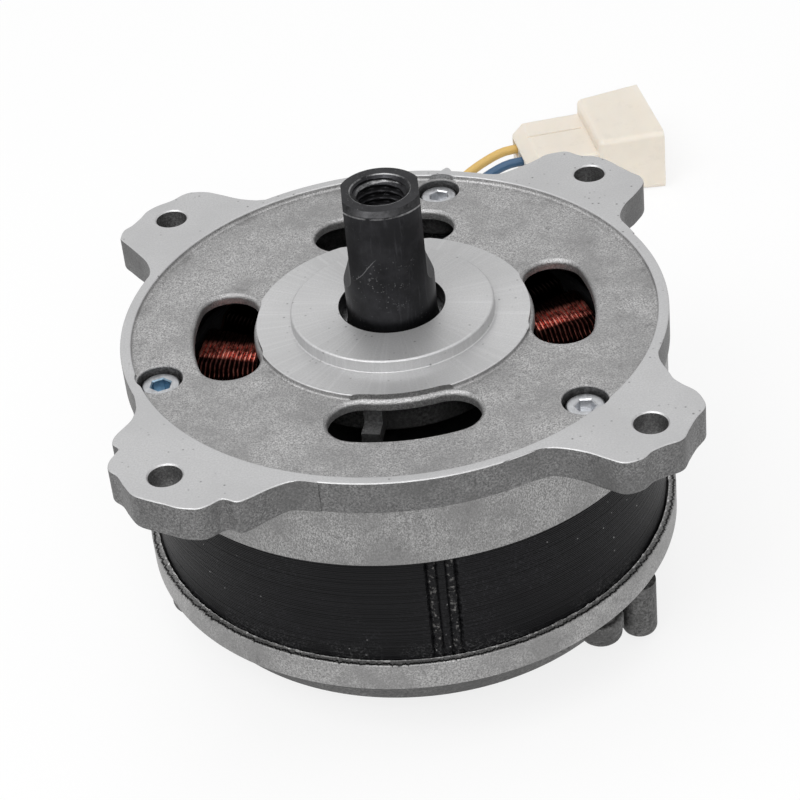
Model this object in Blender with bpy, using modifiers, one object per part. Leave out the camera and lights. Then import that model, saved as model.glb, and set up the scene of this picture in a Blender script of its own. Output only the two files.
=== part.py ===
"""Flanged brushless DC motor with a flatted, internally threaded shaft.

Metres, +Z up. The motor stands upright on its rear hub. The origin lies on the shaft
axis, in the plane that it stands on, and the three phase leads run along that plane
to a white plug behind the motor.
"""
import math

import bmesh
import bpy
from mathutils import Matrix, Vector

MM = 0.001
GAP = 0.3 * MM               # clearance kept between pieces that seat on each other

# Mounting flange, its four ears and the machined face of the front cover
RING_WIDTH = 2.4 * MM
RECESS_DEPTH = 1.3 * MM
FLANGE_T = 7.7 * MM
EAR_T = 8.6 * MM
EAR_REACH = 9.91 * MM        # from the flange's edge out to the hole's centre
EAR_HOLE_R = 3.65 * MM
NIB_ANGLE = 74.3
NIB_LENGTH = 2.0 * MM

# Front cover below the flange
SKIRT_STEP = 0.6 * MM
SKIRT_DEPTH = 22.3 * MM
SKIRT_WALL = 4.4 * MM
SPIGOT_WALL = 0.9 * MM       # of the skirt where it reaches down round the stator
SPIGOT_DEPTH = 2.0 * MM
FACE_T = 3.0 * MM

# Hub, boss and front bearing housing
HUB_R = 31.1 * MM
BOSS_R = 22.6 * MM
BOSS_H = 2.9 * MM
BOSS_CHAMFER = 0.5 * MM
BOSS_BORE_CLEARANCE = 1.65 * MM
HOUSING_WALL = 5.4 * MM
HOUSING_DEPTH = 12.6 * MM
FRONT_SEAT_DEPTH = 0.5 * MM

# Four kidney windows in the face, from the hub to the screw pillars, with rounded edges
WINDOW_TO_HUB = 0.1 * MM
WINDOW_TO_PILLAR = 2.7 * MM
WINDOW_HALF_ANGLE = 14.8
WINDOW_EDGE_R = 1.0 * MM
WINDOW_EDGE_TURN = math.radians(65.0)
WINDOW_COUNT = 4

# Three long screws that clamp the covers on the stator
SCREW_COUNT = 3
SCREW_ANGLE = 75.0
SCREW_INSET = 5.3 * MM       # from the stator's edge in to the screw's centre
SCREW_R = 2.5 * MM
SCREW_HOLE_R = 2.8 * MM
SCREW_HEAD_R = 4.25 * MM
SCREW_HEAD_H = 5.0 * MM
SCREW_HEX_R = 2.31 * MM
SCREW_HEX_DEPTH = 2.6 * MM
SCREW_SUNK = 1.4 * MM
COUNTERBORE_R = 5.0 * MM
PILLAR_R = 6.4 * MM
PILLAR_FLOOR = 2.4 * MM
REAR_BOSS_R = 4.4 * MM
SCREW_BOTTOM_GAP = 0.7 * MM

# Stator
STATOR_R = 59.0 * MM
STATOR_H = 30.9 * MM
SLOT_COUNT = 12
TOOTH_ANGLE = 15.0
AIR_GAP = 0.8 * MM
TIP_T = 1.5 * MM
SHOE_T = 1.2 * MM
SLOT_OPENING = 2.4 * MM
SPLIT_RATIO = 0.4814         # bore to outside, which such motors are laid out by
SLOT_TO_RIM = 0.4 * MM
GROOVE_R = 0.45 * MM
GROOVE_COUNT = 4
GROOVE_STEP_ANGLE = 1.95
GROOVE_ANGLE = 274.0

# Slot insulators and windings
INSULATOR_T = 1.2 * MM
INSULATOR_RIM_BITE = 0.6 * MM    # that the rear bosses take out of the rim
INSULATOR_RIM_T = 1.3 * MM
INSULATOR_RIM_H = 6.5 * MM
INSULATOR_TIP_H = 4.5 * MM
INSULATOR_TIP_ANGLE = 4.0    # left free on each side between the coil stops
COIL_INNER_T = 3.7 * MM      # build of the winding at the bore
COIL_GAP_IN = 0.5 * MM       # half the space between two coils at the bore
COIL_GAP_OUT = 0.84 * MM     # and at the yoke
COIL_END_T = 7.6 * MM
COIL_CORNER_R = 6.0 * MM

# Rotor
MAGNET_COUNT = 10
MAGNET_T = 3.1 * MM
MAGNET_ANGLE = 32.0
ROTOR_SEAT_STEP = 1.0 * MM   # beyond the shaft's front radius

# Shaft
SHAFT_R = 10.0 * MM
SHAFT_TOP = 32.0 * MM        # above the mounting plane
SHAFT_CHAMFER = 1.1 * MM
FLATS_DEPTH = 1.7 * MM
FLATS_END = 13.5 * MM        # full depth down to here, above the mounting plane
FLATS_RUNOUT_R = 4.8 * MM
THREAD_R = 5.1 * MM
THREAD_DEPTH = 28.0 * MM
THREAD_CHAMFER = 1.5 * MM
SHOULDER_STEP = 1.0 * MM     # beyond the rotor's seat
SHOULDER_H = 3.0 * MM
REAR_NECK_STEP = 1.5 * MM    # beyond the rear journal

# Sealed ball bearings: outer radius, width, race thicknesses and shields
FRONT_BEARING_R = 21.0 * MM
FRONT_BEARING_W = 12.0 * MM
REAR_JOURNAL_R = 7.5 * MM
REAR_BEARING_R = 17.5 * MM
REAR_BEARING_W = 11.0 * MM
OUTER_RACE_T = 2.4 * MM
INNER_RACE_T = 2.6 * MM
SHIELD_T = 0.7 * MM
SHIELD_INSET = 0.4 * MM
WASHER_T = 0.4 * MM
WASHER_WAVE = 0.25 * MM
CIRCLIP_T = 1.0 * MM
CIRCLIP_MOUTH_ANGLE = 20.0   # half of the mouth

# Rear cover
REAR_LIP_OVERLAP = 2.6 * MM
REAR_LIP_GAP = 0.6 * MM
REAR_LIP_W = 1.7 * MM
REAR_SIDE_H = 6.9 * MM
REAR_STEP = 3.0 * MM
REAR_STEP_H = 8.9 * MM
REAR_STEP_DRAFT = 3.8 * MM
REAR_CONE_W = 4.5 * MM
REAR_CONE_H = 1.6 * MM
REAR_CORNER = 4.4 * MM
REAR_PLATE_T = 3.5 * MM
REAR_WALL = 4.8 * MM
REAR_HUB_WALL = 2.2 * MM
REAR_HUB_DRAFT = 1.5 * MM
REAR_HUB_DROP = 8.8 * MM     # that the motor's foot stands below the plate
REAR_HUB_FLOOR = 4.1 * MM
REAR_HOUSING_WALL = 3.7 * MM
REAR_HOUSING_TOP = 3.5 * MM
REAR_BOSS_RAISE = 2.1 * MM
REAR_LUG_R = 6.0 * MM
REAR_LUG_H = 4.0 * MM
REAR_RIB_COUNT = 6
REAR_RIB_ANGLE = 45.0
REAR_RIB_T = 3.0 * MM
REAR_RIB_H = 6.0 * MM

# Cast posts and pin: place, inset from the cover's edge, radius and reach below the plate
OUTER_POST_ANGLE = -31.48
OUTER_POST_INSET = 4.43 * MM
OUTER_POST_R = 4.05 * MM
OUTER_POST_REACH = 7.3 * MM
INNER_POST_ANGLE = -38.82
INNER_POST_INSET = 10.73 * MM
INNER_POST_R = 4.9 * MM
INNER_POST_REACH = 6.5 * MM
PIN_ANGLE = -58.02
PIN_INSET = 7.3 * MM
PIN_R = 3.5 * MM
PIN_RAISE = 4.6 * MM         # of its end above the plate
POST_EDGE_R = 1.6 * MM

# Leads, grommet and plug
LEAD_R = 1.35 * MM
LEAD_ANGLE = 95.0
LEAD_SPACING = 4.2 * MM
LEAD_POINT_STEP = 7.0 * MM
LEAD_RISE = 1.5 * MM         # of the exit above the lower edge of the rear cover's rim
GROMMET_W = 13.2 * MM
GROMMET_H = 4.0 * MM
GROMMET_LIP = 0.8 * MM
GROMMET_LIP_T = 1.5 * MM
PLUG_PLACE = (42.6 * MM, 171.6 * MM)
PLUG_ANGLE = 7.5
PLUG_NECK_L = 20.3 * MM
PLUG_NECK_W = 25.0 * MM
PLUG_NECK_LOW = 2.4 * MM
PLUG_NECK_HIGH = 14.0 * MM
PLUG_NECK_SLOPE = 3.3 * MM
PLUG_HOOD_L = 19.1 * MM
PLUG_HOOD_BACK = (27.4 * MM, 17.4 * MM)
PLUG_HOOD_MOUTH = (31.1 * MM, 18.9 * MM)
PLUG_EDGE = 0.8 * MM
PLUG_WALL = 1.5 * MM
PLUG_DIVIDER = 2.2 * MM
PLUG_PITCH = 7.5 * MM
PLUG_GROOVE_W = 0.8 * MM
PLUG_GROOVE_DEPTH = 0.5 * MM
PLUG_GROOVE_SIDE = 3.0 * MM
CONTACT_Z = 8.2 * MM
BLADE_W = 6.3 * MM
BLADE_T = 0.8 * MM
BLADE_L = 8.5 * MM
CRIMP_L = 9.0 * MM
CRIMP_H = 3.4 * MM

# Facets round a full turn
COVER_STEPS = 48
SHAFT_STEPS = 32
INSULATOR_STEPS = 24
BEARING_STEPS = 24
HOLE_STEPS = 16

ROTOR_STEPS = 40
LEAD_HOLE_STEPS = 10
GROOVE_STEPS = 6
HEX_STEPS = 6
FACET_ANGLE = 0.2            # degrees within which facets count as one flat face

# Derived sizes: heights, from the plane that the motor stands on up to its shaft
REAR_PLATE_BOTTOM = REAR_HUB_DROP
REAR_PLATE_TOP = REAR_PLATE_BOTTOM + REAR_PLATE_T
REAR_STEP_BOTTOM = REAR_PLATE_BOTTOM + REAR_CONE_H
REAR_SIDE_BOTTOM = REAR_STEP_BOTTOM + REAR_STEP_H
REAR_LIP_TOP = REAR_SIDE_BOTTOM + REAR_SIDE_H
REAR_SHOULDER_Z = REAR_LIP_TOP - REAR_LIP_OVERLAP
STATOR_BOTTOM = REAR_SHOULDER_Z + GAP
STATOR_TOP = STATOR_BOTTOM + STATOR_H
PLANE_Z = STATOR_TOP + GAP - SPIGOT_DEPTH + SKIRT_DEPTH
FACE_TOP = PLANE_Z - RECESS_DEPTH
FACE_BOTTOM = FACE_TOP - FACE_T
HEAD_TOP = FACE_TOP - SCREW_SUNK
HEAD_SEAT = HEAD_TOP - SCREW_HEAD_H
REAR_BOSS_BOTTOM = REAR_PLATE_BOTTOM + REAR_BOSS_RAISE
FRONT_BEARING_TOP = PLANE_Z - FRONT_SEAT_DEPTH - GAP
FRONT_BEARING_MID = FRONT_BEARING_TOP - FRONT_BEARING_W / 2
REAR_BEARING_MID = REAR_HUB_FLOOR + WASHER_T + 2 * WASHER_WAVE + 2 * GAP + REAR_BEARING_W / 2
LEAD_Z = REAR_SIDE_BOTTOM + LEAD_RISE

# Derived sizes: radii
SKIRT_R = STATOR_R + GAP + SPIGOT_WALL
RING_R = SKIRT_R + SKIRT_STEP
RECESS_R = RING_R - RING_WIDTH
EAR_HALF_PITCH = (RING_R + EAR_REACH) / math.sqrt(2.0)
SCREW_CIRCLE_R = STATOR_R - SCREW_INSET
WINDOW_IN_R = HUB_R + WINDOW_TO_HUB
WINDOW_OUT_R = SCREW_CIRCLE_R - PILLAR_R - WINDOW_TO_PILLAR
WINDOW_R = (WINDOW_IN_R + WINDOW_OUT_R) / 2
WINDOW_HALF_W = (WINDOW_OUT_R - WINDOW_IN_R) / 2
INSULATOR_RIM_R = SCREW_CIRCLE_R - REAR_BOSS_R - GAP + INSULATOR_RIM_BITE
SLOT_R = INSULATOR_RIM_R + SLOT_TO_RIM
STATOR_BORE_R = STATOR_R * SPLIT_RATIO
MAGNET_R = STATOR_BORE_R - AIR_GAP
ROTOR_R = MAGNET_R - MAGNET_T - GAP
BOSS_BORE_R = SHAFT_R + BOSS_BORE_CLEARANCE
ROTOR_SEAT_R = SHAFT_R + ROTOR_SEAT_STEP
SHOULDER_R = ROTOR_SEAT_R + SHOULDER_STEP
REAR_NECK_R = REAR_JOURNAL_R + REAR_NECK_STEP
REAR_LIP_R = STATOR_R + REAR_LIP_GAP
REAR_R = REAR_LIP_R + REAR_LIP_W
REAR_STEP_R = REAR_R - REAR_STEP
REAR_CONE_R = REAR_STEP_R - REAR_STEP_DRAFT - REAR_CONE_W
REAR_HUB_R = REAR_BEARING_R + GAP + REAR_HUB_WALL

# Derived sizes: each coil fills its share of the slots, and the tooth what the coil leaves
SLOT_TURN = math.pi / SLOT_COUNT
COIL_R_IN = STATOR_BORE_R + TIP_T + SHOE_T + GAP
COIL_WALL_R = (INSULATOR_RIM_R - INSULATOR_RIM_T) * math.cos(math.pi / INSULATOR_STEPS) - GAP
COIL_REACH = math.sqrt(COIL_WALL_R ** 2 - COIL_GAP_OUT ** 2)
COIL_R_OUT = COIL_REACH * math.cos(SLOT_TURN) + COIL_GAP_OUT * math.sin(SLOT_TURN)
COIL_HALF_W_IN = (COIL_R_IN * math.sin(SLOT_TURN) - COIL_GAP_IN) / math.cos(SLOT_TURN)
COIL_HALF_W_OUT = (COIL_R_OUT * math.sin(SLOT_TURN) - COIL_GAP_OUT) / math.cos(SLOT_TURN)
TOOTH_HALF_W = COIL_HALF_W_IN - COIL_INNER_T - 2 * GAP

# One ear outline about its hole, from the flange round the outside to the flange, for the
# ear in the +X +Y quarter. Two lobes stand either side of the clipped corner.
EAR_LOBES = (
    (-22.2, 4.2), (-17.9, 5.4), (-14.2, 7.7), (-9.9, 10.5), (-6.2, 11.6), (-3.0, 11.0),
    (-0.5, 9.0), (2.8, 7.5), (5.6, 5.3), (7.7, 2.1), (9.8, -1.2), (11.6, -3.6),
    (12.1, -6.6), (11.1, -9.5), (8.9, -12.8), (6.6, -15.7), (5.0, -19.1), (4.9, -22.7),
)
# The ear with the two extra cast lobes, seen as if it stood in the +X +Y quarter
EAR_WIDE_LOBES = (
    (-26.4, 6.6), (-23.6, 6.9), (-20.8, 8.5), (-17.0, 10.7), (-14.6, 11.3), (-12.8, 10.7),
    (-11.3, 10.2), (-9.5, 11.2), (-7.1, 12.3), (-3.8, 11.9), (-1.0, 10.2), (1.9, 8.5),
    (4.7, 7.1), (6.9, 5.2), (8.0, 2.3), (9.4, -0.7), (11.3, -3.0), (12.0, -5.7),
    (11.5, -8.0), (10.4, -10.4), (11.3, -12.5), (11.3, -14.6), (9.9, -17.7), (8.0, -20.3),
    (6.9, -23.8), (7.3, -29.5),
)
EARS = (
    (1, 1, EAR_LOBES),
    (-1, 1, EAR_LOBES),
    (-1, -1, EAR_WIDE_LOBES),
    (1, -1, EAR_LOBES),
)

# Route of each lead in millimetres, from just outside the grommet to the plug's rear face
LEAD_ROUTES = {
    "lead_yellow": (
        (-10.1, 72.5, 19.6), (-10.6, 81.5, 14.6), (-10.8, 91.5, 8.5), (-10.2, 102.5, 3.2),
        (-8.6, 115.5, 1.5), (-5.5, 129.0, 1.45), (-0.5, 142.5, 1.45), (6.5, 155.0, 1.45),
        (15.0, 165.0, 1.6), (22.5, 171.5, 2.9), (29.0, 175.6, 5.2), (35.5, 178.0, 7.4),
    ),
    "lead_blue": (
        (-5.9, 72.5, 19.6), (-6.3, 81.5, 14.6), (-6.4, 91.5, 8.5), (-5.6, 102.0, 3.2),
        (-4.0, 114.0, 1.5), (-1.2, 126.4, 1.45), (3.0, 138.6, 1.45), (9.0, 149.8, 1.45),
        (16.6, 158.8, 1.6), (23.8, 164.8, 2.9), (30.2, 168.6, 5.2), (36.6, 170.8, 7.4),
    ),
    "lead_green": (
        (-1.7, 72.5, 19.6), (-2.0, 81.5, 14.6), (-2.0, 91.5, 8.5), (-1.1, 101.4, 3.2),
        (0.6, 112.4, 1.5), (3.2, 123.6, 1.45), (6.8, 134.4, 1.45), (12.0, 144.4, 1.45),
        (18.8, 152.4, 1.6), (25.6, 157.8, 2.9), (31.6, 161.4, 5.2), (37.8, 163.4, 7.4),
    ),
}
LEAD_ORDER = ("lead_yellow", "lead_blue", "lead_green")


def clear_scene():
    """Start from an empty scene."""
    for obj in list(bpy.data.objects):
        bpy.data.objects.remove(obj, do_unlink=True)


def new_collection(name):
    """Link and return a fresh collection."""
    collection = bpy.data.collections.new(name)
    bpy.context.scene.collection.children.link(collection)
    return collection


def new_material(name, color, roughness, metallic):
    """Principled material with one colour."""
    material = bpy.data.materials.new(name)
    material.use_nodes = True
    shader = material.node_tree.nodes["Principled BSDF"]
    shader.inputs["Base Color"].default_value = (*color, 1.0)
    shader.inputs["Roughness"].default_value = roughness
    shader.inputs["Metallic"].default_value = metallic
    return material


clear_scene()
PARTS = new_collection("brushless_motor")
CUTTERS = new_collection("brushless_motor_cutters")
CAST = new_material("cast_aluminium", (0.52, 0.53, 0.54), 0.45, 1.0)
STEEL_BLACK = new_material("black_oxide_steel", (0.05, 0.05, 0.055), 0.4, 0.8)
LAMINATION = new_material("painted_lamination", (0.03, 0.03, 0.032), 0.5, 0.3)
COPPER = new_material("enamelled_copper", (0.45, 0.12, 0.07), 0.35, 0.9)
INSULATOR = new_material("insulator_nylon", (0.03, 0.03, 0.03), 0.6, 0.0)
ZINC = new_material("zinc_plated_steel", (0.7, 0.71, 0.72), 0.3, 1.0)
BRIGHT = new_material("bearing_steel", (0.6, 0.6, 0.6), 0.2, 1.0)
MAGNET = new_material("nickel_magnet", (0.45, 0.45, 0.44), 0.3, 1.0)
RUBBER = new_material("grommet_rubber", (0.02, 0.02, 0.02), 0.7, 0.0)
NYLON = new_material("plug_nylon", (0.82, 0.78, 0.7), 0.4, 0.0)
TIN = new_material("tinned_brass", (0.72, 0.7, 0.66), 0.25, 1.0)
LEAD_COLORS = {
    "lead_yellow": new_material("lead_yellow", (0.85, 0.6, 0.15), 0.45, 0.0),
    "lead_blue": new_material("lead_blue", (0.04, 0.16, 0.32), 0.45, 0.0),
    "lead_green": new_material("lead_green", (0.03, 0.14, 0.08), 0.45, 0.0),
}


def add_part(name, mesh, material):
    """Add a mesh to the model as one named sub-part."""
    obj = bpy.data.objects.new(name, mesh)
    obj.data.materials.append(material)
    PARTS.objects.link(obj)
    return obj


def add_cutter(name, mesh):
    """Add a mesh that only cuts or joins other pieces."""
    obj = bpy.data.objects.new(name, mesh)
    obj.hide_render = True
    obj.display_type = "WIRE"
    CUTTERS.objects.link(obj)
    return obj


def combine(target, other, operation):
    """Boolean the other object into the target."""
    modifier = target.modifiers.new(operation.lower() + "_" + other.name, "BOOLEAN")
    modifier.operation = operation
    modifier.solver = "EXACT"
    modifier.object = other


def merge_facets(obj):
    """Join the coplanar facets that cuts and unions leave."""
    modifier = obj.modifiers.new("merge_facets", "DECIMATE")
    modifier.decimate_type = "DISSOLVE"
    modifier.angle_limit = math.radians(FACET_ANGLE)


def profile_mesh(name, points, closed):
    """Edge outline in the XZ plane for a Screw modifier."""
    mesh = bpy.data.meshes.new(name)
    count = len(points)
    edges = [(i, i + 1) for i in range(count - 1)]
    if closed:
        edges.append((count - 1, 0))
    mesh.from_pydata([(r, 0.0, z) for r, z in points], edges, [])
    return mesh


def spin(obj, steps):
    """Turn an outline about its object's Z axis."""
    screw = obj.modifiers.new("turn", "SCREW")
    screw.steps = steps
    screw.render_steps = steps
    screw.use_merge_vertices = True
    screw.merge_threshold = 0.00001
    screw.use_normal_calculate = False
    return obj


def turned_part(name, points, steps, material, closed=True):
    """Turned sub-part from an outline that runs down its outer side."""
    return spin(add_part(name, profile_mesh(name, points, closed), material), steps)


def turned_cutter(name, points, steps, closed=True, place=(0.0, 0.0)):
    """Turned cutter or joining piece, placed in plan."""
    obj = spin(add_cutter(name, profile_mesh(name, points, closed)), steps)
    obj.location = (place[0], place[1], 0.0)
    return obj


def solid_mesh(obj):
    """Mesh that an object's modifiers make."""
    depsgraph = bpy.context.evaluated_depsgraph_get()
    return bpy.data.meshes.new_from_object(obj.evaluated_get(depsgraph))


def plate_mesh(name, outlines, low, high):
    """Solid plate between two heights, from flat outlines of which the inner are holes."""
    curve = bpy.data.curves.new(name + "_outline", "CURVE")
    curve.dimensions = "2D"
    curve.fill_mode = "BOTH"
    curve.extrude = (high - low) / 2
    for outline in outlines:
        spline = curve.splines.new("POLY")
        spline.points.add(len(outline) - 1)
        for point, (x, y) in zip(spline.points, outline):
            point.co = (x, y, 0.0, 1.0)
        spline.use_cyclic_u = True
    guide = bpy.data.objects.new(name + "_outline", curve)
    CUTTERS.objects.link(guide)
    depsgraph = bpy.context.evaluated_depsgraph_get()
    mesh = bpy.data.meshes.new_from_object(guide.evaluated_get(depsgraph))
    bpy.data.objects.remove(guide, do_unlink=True)
    solid = bmesh.new()
    solid.from_mesh(mesh)
    bmesh.ops.remove_doubles(solid, verts=solid.verts, dist=0.000001)
    bmesh.ops.translate(solid, verts=solid.verts, vec=(0.0, 0.0, (low + high) / 2))
    bmesh.ops.recalc_face_normals(solid, faces=solid.faces)
    solid.to_mesh(mesh)
    solid.free()
    mesh.name = name
    return mesh


def merged_mesh(name, meshes):
    """One mesh holding several separate closed bodies."""
    whole = bmesh.new()
    for mesh in meshes:
        whole.from_mesh(mesh)
    merged = bpy.data.meshes.new(name)
    whole.to_mesh(merged)
    whole.free()
    return merged


def moved(mesh, matrix):
    """Copy of a mesh under a transform, still facing out when mirrored."""
    copy = mesh.copy()
    copy.transform(matrix)
    if matrix.determinant() < 0:
        copy.flip_normals()
    return copy


def box_mesh(name, low, high):
    """Box between two corners."""
    solid = bmesh.new()
    bmesh.ops.create_cube(solid, size=1.0)
    size = [b - a for a, b in zip(low, high)]
    centre = [(a + b) / 2 for a, b in zip(low, high)]
    bmesh.ops.scale(solid, verts=solid.verts, vec=size)
    bmesh.ops.translate(solid, verts=solid.verts, vec=centre)
    mesh = bpy.data.meshes.new(name)
    solid.to_mesh(mesh)
    solid.free()
    return mesh


def cylinder_mesh(name, radius, low, high, steps):
    """Upright cylinder between two heights."""
    solid = bmesh.new()
    bmesh.ops.create_cone(
        solid, cap_ends=True, segments=steps, radius1=radius, radius2=radius, depth=high - low
    )
    bmesh.ops.translate(solid, verts=solid.verts, vec=(0.0, 0.0, (low + high) / 2))
    mesh = bpy.data.meshes.new(name)
    solid.to_mesh(mesh)
    solid.free()
    return mesh


def around(count, first):
    """Angles in degrees of a ring of equal copies."""
    return [first + 360.0 * index / count for index in range(count)]


def turn_z(degrees):
    """Rotation about the shaft axis."""
    return Matrix.Rotation(math.radians(degrees), 4, "Z")


def shift(x, y, z=0.0):
    """Translation."""
    return Matrix.Translation((x, y, z))


def arc(radius, start, end, count, centre=(0.0, 0.0)):
    """Points on an arc, ends included, angles in degrees."""
    points = []
    for index in range(count + 1):
        angle = math.radians(start + (end - start) * index / count)
        points.append((centre[0] + radius * math.cos(angle), centre[1] + radius * math.sin(angle)))
    return points


def ring_outline(radius, steps):
    """Full circle as a closed outline."""
    return arc(radius, 0.0, 360.0 - 360.0 / steps, steps - 1)


def smoothed(points, spans):
    """Catmull-Rom curve through the points of an open route."""
    ends = [points[0], *points, points[-1]]
    curve = []
    for index in range(1, len(ends) - 2):
        before, start, end, after = [Vector(p) for p in ends[index - 1:index + 3]]
        for part in range(spans):
            t = part / spans
            curve.append(
                0.5 * (2 * start + (end - before) * t
                       + (2 * before - 5 * start + 4 * end - after) * t * t
                       + (3 * start - before - 3 * end + after) * t * t * t)
            )
    curve.append(Vector(points[-1]))
    return curve


def evenly_spaced(path, step):
    """Points at equal distances along a fine path, ends included."""
    lengths = [0.0]
    for start, end in zip(path, path[1:]):
        lengths.append(lengths[-1] + (end - start).length)
    count = max(2, round(lengths[-1] / step))
    points = []
    index = 0
    for number in range(count + 1):
        target = lengths[-1] * number / count
        while index < len(path) - 2 and lengths[index + 1] < target:
            index += 1
        share = (target - lengths[index]) / (lengths[index + 1] - lengths[index])
        points.append(path[index].lerp(path[index + 1], share))
    return points


def front_cover():
    """Die-cast front cover: flange, ears, face, hub, boss, skirt and bearing housing."""
    boss_top = PLANE_Z + BOSS_H
    skirt_bottom = PLANE_Z - SKIRT_DEPTH
    flange_bottom = PLANE_Z - FLANGE_T
    seat_top = PLANE_Z - FRONT_SEAT_DEPTH
    seat_r = FRONT_BEARING_R + GAP
    housing_bottom = PLANE_Z - HOUSING_DEPTH
    spigot_top = skirt_bottom + SPIGOT_DEPTH
    inner_r = SKIRT_R - SKIRT_WALL
    cover = turned_part("front_cover", (
        (BOSS_BORE_R, boss_top),
        (BOSS_R - BOSS_CHAMFER, boss_top),
        (BOSS_R, boss_top - BOSS_CHAMFER),
        (BOSS_R, PLANE_Z),
        (HUB_R, PLANE_Z),
        (HUB_R, FACE_TOP),
        (RECESS_R, FACE_TOP),
        (RECESS_R, PLANE_Z),
        (RING_R, PLANE_Z),
        (RING_R, flange_bottom),
        (SKIRT_R, flange_bottom),
        (SKIRT_R, skirt_bottom),
        (STATOR_R + GAP, skirt_bottom),
        (STATOR_R + GAP, spigot_top),
        (inner_r, spigot_top),
        (inner_r, FACE_BOTTOM),
        (seat_r + HOUSING_WALL, FACE_BOTTOM),
        (seat_r + HOUSING_WALL, housing_bottom),
        (seat_r, housing_bottom),
        (seat_r, seat_top),
        (BOSS_BORE_R, seat_top),
    ), COVER_STEPS, CAST)
    combine(cover, front_ears(), "UNION")
    combine(cover, front_pillars(), "UNION")
    combine(cover, window_cutter(), "DIFFERENCE")
    combine(cover, screw_hole_cutter(), "DIFFERENCE")
    combine(cover, ear_hole_cutter(), "DIFFERENCE")
    merge_facets(cover)
    return cover


def front_ears():
    """Four cast ears and the small nib, cut away inside the flange ring."""
    blocks = []
    for side_x, side_y, lobes in EARS:
        path = [(EAR_HALF_PITCH + x * MM, EAR_HALF_PITCH + y * MM) for x, y in lobes]
        root = RING_R / 2
        outline = [(root, root)] + [(p.x, p.y) for p in smoothed(path, 2)]
        block = plate_mesh("ear", [outline], PLANE_Z - EAR_T, PLANE_Z)
        blocks.append(moved(block, Matrix.Diagonal((side_x, side_y, 1.0, 1.0))))
    nib_tip = RING_R + NIB_LENGTH
    nib = plate_mesh(
        "nib", [((RECESS_R, -NIB_LENGTH), (nib_tip, 0.0), (RECESS_R, NIB_LENGTH))],
        PLANE_Z - FLANGE_T, PLANE_Z,
    )
    blocks.append(moved(nib, turn_z(NIB_ANGLE)))
    ears = add_cutter("front_cover_ears", merged_mesh("front_cover_ears", blocks))
    inside = add_cutter("ear_root_cutter", cylinder_mesh(
        "ear_root_cutter", RING_R - RING_WIDTH / 2, PLANE_Z - 2 * EAR_T, PLANE_Z + EAR_T, COVER_STEPS
    ))
    combine(ears, inside, "DIFFERENCE")
    return ears


def front_pillars():
    """Pillars under the face that the screw heads are sunk in."""
    pillar = cylinder_mesh(
        "pillar", PILLAR_R, HEAD_SEAT - PILLAR_FLOOR, FACE_TOP - FACE_T / 2, HOLE_STEPS
    )
    pillars = [
        moved(pillar, turn_z(angle) @ shift(SCREW_CIRCLE_R, 0.0))
        for angle in around(SCREW_COUNT, SCREW_ANGLE)
    ]
    return add_cutter("front_cover_pillars", merged_mesh("front_cover_pillars", pillars))


def kidney_outline(grow):
    """Kidney window outline about +X, grown outward by a distance."""
    inner = WINDOW_IN_R - grow
    outer = WINDOW_OUT_R + grow
    half = WINDOW_HALF_ANGLE
    end = WINDOW_HALF_W + grow
    points = arc(outer, -half, half, 5)
    high = (WINDOW_R * math.cos(math.radians(half)), WINDOW_R * math.sin(math.radians(half)))
    points += arc(end, half, half + 180.0, 6, high)[1:]
    points += arc(inner, half, -half, 4)[1:]
    low = (high[0], -high[1])
    points += arc(end, 180.0 - half, 360.0 - half, 6, low)[1:-1]
    return points


def window_cutter():
    """Lofted cutter of the four windows, flared at the face for the rounded edge."""
    levels = [(FACE_BOTTOM - FACE_T, 0.0), (FACE_TOP - WINDOW_EDGE_R, 0.0)]
    levels.append((
        FACE_TOP - WINDOW_EDGE_R * (1.0 - math.sin(WINDOW_EDGE_TURN)),
        WINDOW_EDGE_R * (1.0 - math.cos(WINDOW_EDGE_TURN)),
    ))
    levels.append((PLANE_Z + FACE_T, levels[-1][1]))
    loft = bmesh.new()
    rings = []
    for height, grow in levels:
        rings.append([loft.verts.new((x, y, height)) for x, y in kidney_outline(grow)])
    count = len(rings[0])
    for low, high in zip(rings, rings[1:]):
        for index in range(count):
            after = (index + 1) % count
            loft.faces.new((low[index], low[after], high[after], high[index]))
    loft.faces.new(list(reversed(rings[0])))
    loft.faces.new(rings[-1])
    window = bpy.data.meshes.new("window")
    loft.to_mesh(window)
    loft.free()
    windows = [moved(window, turn_z(angle)) for angle in around(WINDOW_COUNT, 0.0)]
    return add_cutter("window_cutter", merged_mesh("window_cutter", windows))


def screw_hole_cutter():
    """Counterbores and clearance holes of the three screws in the front cover."""
    head = cylinder_mesh("counterbore", COUNTERBORE_R, HEAD_SEAT - GAP, PLANE_Z + FACE_T, HOLE_STEPS)
    shank = cylinder_mesh(
        "shank_hole", SCREW_HOLE_R, STATOR_TOP - SPIGOT_DEPTH, HEAD_SEAT - GAP / 2, HOLE_STEPS
    )
    cuts = []
    for angle in around(SCREW_COUNT, SCREW_ANGLE):
        place = turn_z(angle) @ shift(SCREW_CIRCLE_R, 0.0)
        cuts.append(moved(head, place))
        cuts.append(moved(shank, place))
    cutter = add_cutter("screw_hole_cutter", merged_mesh("screw_hole_cutter", cuts[0::2]))
    shanks = add_cutter("screw_shank_cutter", merged_mesh("screw_shank_cutter", cuts[1::2]))
    combine(cutter, shanks, "UNION")
    return cutter


def ear_hole_cutter():
    """Plain mounting holes of the four ears."""
    hole = cylinder_mesh(
        "ear_hole", EAR_HOLE_R, PLANE_Z - 2 * EAR_T, PLANE_Z + EAR_T, HOLE_STEPS
    )
    half = EAR_HALF_PITCH
    holes = [moved(hole, shift(sx * half, sy * half)) for sx in (1, -1) for sy in (1, -1)]
    return add_cutter("ear_hole_cutter", merged_mesh("ear_hole_cutter", holes))


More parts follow.
